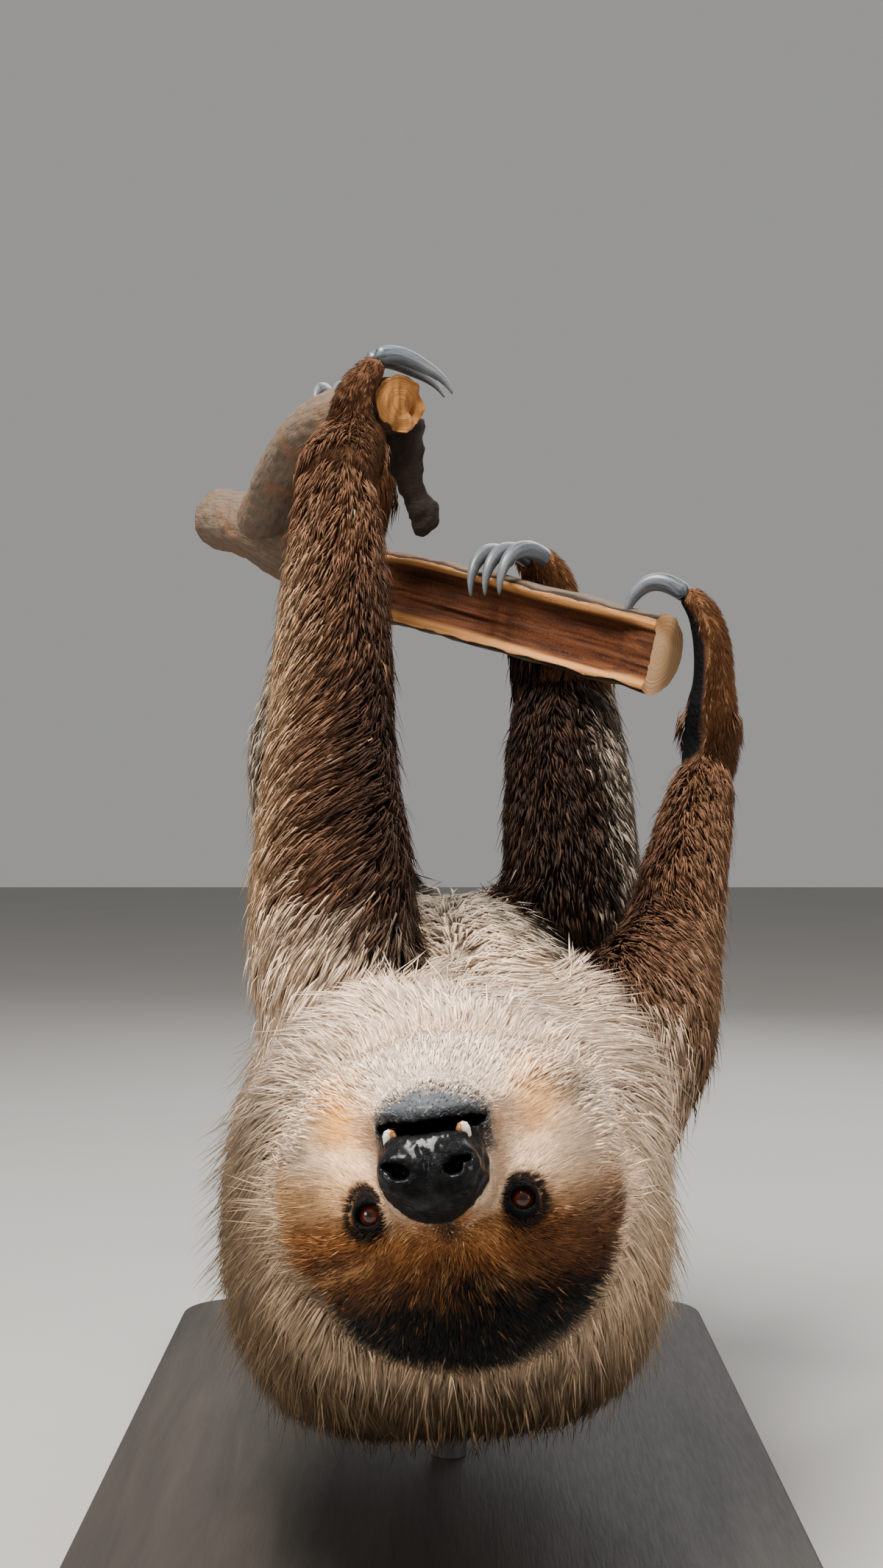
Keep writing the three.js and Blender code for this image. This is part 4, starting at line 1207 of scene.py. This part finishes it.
# ---------- The claws ----------
# Long hooks of slate-grey horn over the last finger bones: two on each hand and three on each foot. Bark has
# rubbed them smooth, and they are streaked along their length and scuffed paler towards the tip.
CLAW_STEPS, CLAW_SIDES = 30, 18
horn, wires, shader = material("claw_horn", coat_weight=0.15, coat_roughness=0.2)
grain = wires.node("Attribute", {"attribute_name": "grain"}, output=1)
reach = wires.node("SeparateXYZ", inputs={0: grain}, output=0)
streak = wires.node("TexNoise", inputs={"Vector": grain, "Scale": 2.2, "Detail": 5.0, "Roughness": 0.6})
space = wires.node("TexCoord", output=3)
scuff = wires.node("TexNoise", inputs={"Vector": space, "Scale": 260.0, "Detail": 4.0})
band = wires.node("MapRange", inputs={"Value": streak, "From Min": 0.36, "From Max": 0.64})
slate = wires.blend("MIX", (0.012, 0.016, 0.022), (0.090, 0.108, 0.130), band)
quick = wires.node("MapRange", inputs={"Value": reach, "From Min": 0.0, "From Max": 0.9})
worn = wires.blend("MIX", slate, (0.17, 0.17, 0.17), quick * scuff * 0.8)
bump = wires.node("Bump", inputs={"Height": streak, "Distance": 0.0006, "Strength": 0.45})
feed(wires, shader, base_color=worn, normal=bump, roughness=0.28 + scuff * 0.3)
for hand, (_, centre, out, _, _, claws, gap, (start, end, clearance, thick)) in GRIPS.items():
    place = gripped(centre, out)
    room = along([(value,) for value in clearance], CLAW_STEPS)[:, 0]
    for index in range(claws):
        offset = (index - (claws - 1) / 2) * gap
        rows = []
        for t, clear in zip(np.linspace(0, 1, CLAW_STEPS), room):
            angle = math.radians(start + (end - start) * t)
            half = thick * (1.1 - 0.94 * t ** 2.4)
            radius = clear + thick * (1 - 0.87 * t ** 1.9)
            point = place(radius * math.cos(angle), radius * math.sin(angle), offset * (1.25 - 0.25 * t))
            rows.append((*point, half * 0.84, half))
        points, faces = loft(np.array(rows), np.cross(unit(np.array(out)), (0, 0, 1.0)), CLAW_SIDES, 0.9)
        claw = mesh_of(f"claw_{hand}_{index + 1}_horn", points, faces, horn)
        turn = np.tile(np.arange(CLAW_SIDES) * 2 * math.pi / CLAW_SIDES, CLAW_STEPS)
        way = np.repeat(np.linspace(0, 1, CLAW_STEPS), CLAW_SIDES)
        lines = np.stack((way, np.cos(turn) + index * 3, np.sin(turn)), 1)
        stain(claw.data, "grain", np.vstack((lines, (0, index * 3, 0), (1, index * 3, 0))))
        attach(claw, "root")
        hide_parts(f"claw_{hand}_{index + 1}")

# ---------- The perch ----------
# A cut, forked branch of a hard brown tree, which rests in the cup of the stand. One side of the log is split
# away and hollowed along the grain, its bark is weathered grey, and the sawn ends show the wood's rings. A
# dead stub hangs near the branch's torn end.
LOG_AXIS = [(112, 415, 66), (0, 505, 103), (-62, 553, 122), (-106, 560, 148), (-131, 596, 158)]
LOG_GIRTHS = [20.5, 20.5, 19.5, 18.5, 18]
BRANCH_AXIS = [(-19, 385, 190), (-70, 452, 187), (-106, 560, 148)]
BRANCH_GIRTHS = [14.6, 13.5, 15]
STUB = [(-21, 402, 184, 12.5, 8), (-19, 405, 166, 10, 7), (-14, 409, 148, 6.5, 5.5), (-9, 411, 137, 8, 5),
        (-11, 413, 127, 2.2, 1.8)]
LOG_RINGS, BRANCH_RINGS, STUB_RINGS = 110, 70, 40
LOG_SIDES, BRANCH_SIDES, STUB_SIDES = 84, 60, 40
LOG_FLAT, SPLIT_LENGTH = 9.5, 190.0
HOLLOW_WIDTH, HOLLOW_START, HOLLOW_DEPTH = 13.5, 1.6, 8.0
CUT_WOOD = {
    # the darkest and the palest of its grain
    # The split face is darker than its orange-brown wood: painted shade in the hollow.
    "split_wood_painted_shade": ((0.012, 0.003, 0.001), (0.115, 0.032, 0.006)),
    "end_wood": ((0.153, 0.056, 0.012), (0.378, 0.165, 0.042)),
    # The log's sawn end is pale end grain made paler still: painted light on a face turned from the lamps.
    "sawn_wood_painted_light": ((0.56, 0.31, 0.15), (0.88, 0.56, 0.30)),
}


def wood(name):
    """Bark, split wood or an end across the grain, where the wood's rings show."""
    made, wires, shader = material(name, roughness=0.85, specular_ior_level=0.25)
    grain = wires.node("Attribute", {"attribute_name": "grain"}, output=1)
    space = wires.node("TexCoord", output=3)
    fibre = wires.node("TexNoise", inputs={"Vector": grain, "Scale": 0.55, "Detail": 6.0, "Roughness": 0.65})
    broad = wires.node("TexNoise", inputs={"Vector": space, "Scale": 45.0, "Detail": 5.0, "Roughness": 0.6})
    fine = wires.node("TexNoise", inputs={"Vector": space, "Scale": 420.0, "Detail": 5.0, "Roughness": 0.7})
    rotten = wires.node("Attribute", {"attribute_name": "rotten"}, output=2)
    if name == "bark":
        rubbed = wires.node("MapRange", inputs={"Value": broad, "From Min": 0.5, "From Max": 0.62})
        grey = wires.blend("MIX", (0.035, 0.023, 0.016), (0.19, 0.14, 0.10), fibre)
        colour = wires.blend("MIX", grey, (0.17, 0.075, 0.032), rubbed * 0.7)
        speckle = wires.blend("MIX", (0.5, 0.5, 0.5), (1.45, 1.4, 1.35), fine)
        colour = wires.blend("MULTIPLY", colour, speckle)
        # Painted shade: bark turns nearly black where the mark is set, as round the stub under the branch.
        colour = wires.blend("MIX", colour, (0.018, 0.010, 0.007), rotten)
        bump = wires.node("Bump", inputs={"Height": fibre + fine * 0.5, "Distance": 0.0015, "Strength": 0.8})
    else:
        if name != "split_wood_painted_shade":
            across = wires.node("VectorMath", {"operation": "MULTIPLY"}, {0: grain, 1: (0.0, 1.0, 1.0)})
            radius = wires.node("VectorMath", {"operation": "LENGTH"}, {0: across}, output=1)
            fibre = wires.node("TexNoise", {"noise_dimensions": "1D"},
                               {"W": radius + broad * 3.0, "Scale": 0.9, "Detail": 4.0, "Roughness": 0.7})
        pale = wires.node("MapRange", inputs={"Value": fibre, "From Min": 0.3, "From Max": 0.7})
        colour = wires.blend("MIX", *CUT_WOOD[name], pale)
        # Painted light: cut wood turns pale orange where the mark is set, as on the split's lit lands.
        colour = wires.blend("MIX", colour, (0.42, 0.19, 0.06), rotten)
        bump = wires.node("Bump", inputs={"Height": fibre + fine * 0.3, "Distance": 0.001, "Strength": 0.6})
    feed(wires, shader, base_color=colour, normal=bump)
    return made


bark = wood("bark")
split_wood_painted_shade, end_wood, sawn_wood_painted_light = (wood(name) for name in CUT_WOOD)


def knotted(name, rows, across, sides, cap, swell):
    """A barked form through rings, uneven by swell, which says how far each point is pushed out."""
    points, faces = loft(rows, across, sides, cap)
    middle = np.vstack((np.repeat(rows[:, :3], sides, axis=0), rows[(0, -1), :3]))
    return mesh_of(name, points + unit(points - middle) * swell(points)[:, None], faces, bark)


def barked(name, axis, girths, steps, sides):
    """A length of branch with its bark, a little overlong at its first end."""
    rows = [(*point, girth, girth) for point, girth in zip(axis, girths)]
    start = np.array(axis[0]) + unit(np.subtract(axis[0], axis[1])) * 12
    rows = along([(*start, girths[0], girths[0])] + rows[1:], steps)
    return knotted(name, rows, (0, 0, 1), sides, 0.1,
                   lambda p: ripple(p, 26, 51) * 0.5 + ripple(p, 9, 52) * 0.35 + ripple(p, 4, 53) * 0.18)


def box_mesh(name, origin, axes, low, high, made):
    """A box from low to high along three directions, for cutting."""
    corners = np.array([[(low, high)[(k >> axis) & 1][axis] for axis in range(3)] for k in range(8)], float)
    faces = np.array([(0, 2, 3, 1), (4, 5, 7, 6), (0, 1, 5, 4), (2, 6, 7, 3), (0, 4, 6, 2), (1, 3, 7, 5)])
    piece = mesh_of(name, origin + corners @ np.array(axes), faces, made)
    piece.data.shade_flat()
    return piece


def cut(piece, others, operation="DIFFERENCE"):
    """The piece with others joined to it or cut out of it; the cutters are used up."""
    for other in others:
        step = piece.modifiers.new("cut", "BOOLEAN")
        step.operation, step.solver = operation, "MANIFOLD"
        step.object, step.material_mode = other, "TRANSFER"
        graph = bpy.context.evaluated_depsgraph_get()
        piece.data = bpy.data.meshes.new_from_object(piece.evaluated_get(graph))
        piece.modifiers.clear()
        bpy.data.objects.remove(other)


def axes_along(way, side):
    """Three directions square to each other: a way, a side and what is square to both."""
    return way, side, np.cross(way, side)


log_end, stem_end = np.array(LOG_AXIS[0], float), np.array(LOG_AXIS[-1], float)
lengthwise = unit(np.subtract(LOG_AXIS[1], LOG_AXIS[0]))
facing = unit(np.array((-lengthwise[1], lengthwise[0], 0.0)))
facing = facing * np.sign(-facing[1])
log_axes = axes_along(lengthwise, facing)
stem = unit(np.subtract(LOG_AXIS[-1], LOG_AXIS[-2]))
stem_axes = axes_along(stem, unit(np.cross(stem, (0, 0, 1))))
perch_log = barked("perch_log_wood", LOG_AXIS, LOG_GIRTHS, LOG_RINGS, LOG_SIDES)
saws = [box_mesh("saw", log_end, log_axes, (-30, -40, -40), (0, 40, 40), sawn_wood_painted_light),
        box_mesh("saw", stem_end, stem_axes, (0, -40, -40), (30, 40, 40), end_wood)]

# The split: a ribbed face with a hollow along it, shallow at the sawn end and deep farther in.
u, w = np.meshgrid(np.linspace(-14, SPLIT_LENGTH, 150), np.linspace(-30, 30, 61), indexing="ij")
flat = np.stack((u, w * 3, u * 0), -1).reshape(-1, 3)
ribs = ripple(flat * (0.06, 1, 1), 9, 61) * 0.35 + ripple(flat * (0.1, 1, 1), 4, 62) * 0.2
ribs = ribs.reshape(u.shape)
hollow = smooth(HOLLOW_WIDTH + 2.5, HOLLOW_WIDTH - 3.5, np.abs(w + 1.2 * np.sin(u / 31)))
deep = (HOLLOW_DEPTH - HOLLOW_START) * smooth(0, 34, u) * smooth(SPLIT_LENGTH, SPLIT_LENGTH - 16, u)
hollow = hollow * (HOLLOW_START + deep)
inner = log_end + u[..., None] * lengthwise + w[..., None] * log_axes[2] \
    + (LOG_FLAT - hollow + ribs)[..., None] * facing


def slab(name, table, way, made):
    """A cutter that reaches `way` out from an uneven face, which is a table of points."""
    size = table.shape[0] * table.shape[1]
    grid = np.arange(size).reshape(table.shape[:2])
    quads = np.stack((grid[:-1, :-1], grid[1:, :-1], grid[1:, 1:], grid[:-1, 1:]), -1).reshape(-1, 4)
    loop = np.concatenate((grid[:-1, 0], grid[-1, :-1], grid[:0:-1, -1], grid[0, :0:-1]))
    walls = np.stack((loop, np.roll(loop, -1), np.roll(loop, -1) + size, loop + size), 1)
    faces = np.vstack((quads[:, ::-1], quads + size, walls))
    if np.cross(table[-1, 0] - table[0, 0], table[0, -1] - table[0, 0]) @ way < 0:
        faces = faces[:, ::-1]
    flat = table.reshape(-1, 3)
    return mesh_of(name, np.vstack((flat, flat + way)), faces, made)


cut(perch_log, saws + [slab("splitter", inner, 40 * facing, split_wood_painted_shade)])

perch_branch = barked("perch_branch_wood", BRANCH_AXIS, BRANCH_GIRTHS, BRANCH_RINGS, BRANCH_SIDES)
branch_end = np.array(BRANCH_AXIS[0], float)
branch_way = unit(np.subtract(BRANCH_AXIS[1], BRANCH_AXIS[0]))
branch_axes = axes_along(branch_way, unit(np.cross(branch_way, (0, 0, 1))))
stub = knotted("stub", along(STUB, STUB_RINGS), (1, 0, 0), STUB_SIDES, 0.5,
               lambda p: ripple(p, 12, 71) * 0.7 + ripple(p, 5, 72) * 0.4)
cut(perch_branch, [stub], "UNION")

# The branch's end is torn, with a spike and two corners that stand out.
u, w = np.meshgrid(np.linspace(-19, 19, 58), np.linspace(-19, 19, 58), indexing="ij")
flat = np.stack((u, w, u * 0), -1).reshape(-1, 3)
torn = 1.2 + (ripple(flat, 14, 81) * 1.0 + ripple(flat * (1, 0.4, 1), 5, 82) * 0.5).reshape(u.shape)
torn = torn + 6 * np.exp(-((u - 8) / 2.4) ** 2 - ((w - 3) / 3.2) ** 2)
torn = torn + 2.5 * smooth(7, 13, u * 0.5 + w) + 2.5 * smooth(8, 13, -u * 0.9 + w * 0.3)
torn_face = branch_end + torn[..., None] * branch_way + u[..., None] * branch_axes[1] \
    + w[..., None] * branch_axes[2]
cut(perch_branch, [slab("break", torn_face, -30 * branch_way, end_wood)])


def grained(piece, axis):
    """Stores the way along the grain and across it, and gives back the piece's points."""
    points = points_of(piece.data)
    line = along(axis, 200)
    nearest = np.argmin(((points[:, None] - line[None]) ** 2).sum(2), axis=1)
    run = np.concatenate(((0,), np.cumsum(np.linalg.norm(np.diff(line, axis=0), axis=1))))
    off = points - line[nearest]
    stain(piece.data, "grain", np.stack((run[nearest] * 0.07, off[:, 1] + off[:, 0] * 0.3, off[:, 2]), 1))
    return points


points = grained(perch_log, LOG_AXIS)
off = points - log_end
# The lands along the split's edges: painted light on their cut wood, painted shade on the bark beside them.
rim = smooth(HOLLOW_WIDTH - 2.0, HOLLOW_WIDTH + 2.0, np.abs(off @ log_axes[2]))
stain(perch_log.data, "rotten", rim * smooth(LOG_FLAT - 4.5, LOG_FLAT - 2.0, off @ facing)
      * (off @ lengthwise < SPLIT_LENGTH))
points = grained(perch_branch, BRANCH_AXIS)
# Round the stub, under the branch's torn end: painted shadow on the bark.
stub_line = along(STUB, 30)[:, :3]
reach = np.linalg.norm(points[:, None] - stub_line[None], axis=2).min(1)
stain(perch_branch.data, "rotten", smooth(17, 12, reach) * smooth(188, 180, points[:, 2]))
for piece, node in ((perch_log, "perch_log"), (perch_branch, "perch_branch")):
    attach(piece, "root")
    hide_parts(node)

# ---------- The stand ----------
# A black-stained board with softened edges, and two steel rods painted satin black: one ends in a cup under
# the log and stands in a turned collar, and the other ends inside the coat of the back.
BOARD_WIDE, BOARD_LONG, BOARD_THICK, BOARD_CORNER = 312, 560, 14, 34
BOARD_MIDDLE, BOARD_EDGE, FLOOR = 366, 2.5, -332.0
black_wood, wires, shader = material("stand_board", specular_ior_level=0.15)
space = wires.node("TexCoord", output=3)
long_way = wires.node("Mapping", inputs={"Vector": space, "Scale": (9.0, 0.7, 9.0)})
figure = wires.node("TexNoise", inputs={"Vector": long_way, "Scale": 7.0, "Detail": 6.0, "Distortion": 0.6})
pores = wires.node("TexNoise", inputs={"Vector": long_way, "Scale": 70.0, "Detail": 4.0, "Roughness": 0.7})
bump = wires.node("Bump", inputs={"Height": pores + figure * 0.4, "Distance": 0.0006, "Strength": 0.5})
feed(wires, shader, base_color=wires.blend("MIX", (0.014, 0.012, 0.011), (0.055, 0.047, 0.040), figure),
     normal=bump, roughness=0.48 + pores * 0.25)
profile = [(0.8, 0.0), (0.0, 0.8)]
for turn in np.linspace(0, math.pi / 2, 6):
    profile.append((BOARD_EDGE * (1 - math.cos(turn)), BOARD_THICK - BOARD_EDGE * (1 - math.sin(turn))))
turns = np.linspace(0, math.pi / 2, 12)
outline = []
for quarter, (sx, sy) in enumerate(((1, 1), (-1, 1), (-1, -1), (1, -1))):
    for turn in turns + quarter * math.pi / 2:
        outline.append((sx * (BOARD_WIDE / 2 - BOARD_CORNER), sy * (BOARD_LONG / 2 - BOARD_CORNER),
                        math.cos(turn), math.sin(turn)))
outline = np.array(outline)
rings = [np.stack((outline[:, 0] + outline[:, 2] * (BOARD_CORNER - inset),
                   outline[:, 1] + outline[:, 3] * (BOARD_CORNER - inset) + BOARD_MIDDLE,
                   np.full(len(outline), FLOOR + height)), 1) for inset, height in profile]
points = np.vstack(rings + [((0, BOARD_MIDDLE, FLOOR), (0, BOARD_MIDDLE, FLOOR + BOARD_THICK))])
base = mesh_of("stand_board", points, closed(len(rings), len(outline)), black_wood)
base.data.set_sharp_from_angle(angle=math.radians(40))
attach(base, "root")
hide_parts("stand_base")

steel, wires, shader = material("stand_paint", coat_weight=0.2, coat_roughness=0.25)
space = wires.node("TexCoord", output=3)
peel = wires.node("TexNoise", inputs={"Vector": space, "Scale": 900.0, "Detail": 2.0})
dust = wires.node("TexNoise", inputs={"Vector": space, "Scale": 60.0, "Detail": 4.0})
bump = wires.node("Bump", inputs={"Height": peel, "Distance": 0.0002, "Strength": 0.4})
feed(wires, shader, base_color=wires.blend("MIX", (0.022, 0.022, 0.024), (0.042, 0.041, 0.040), dust),
     normal=bump, roughness=0.32 + dust * 0.2)
for name in ("stand_post", "stand_collar", "stand_saddle", "stand_rod"):
    for slot in bpy.data.objects[name].material_slots:
        slot.material = steel
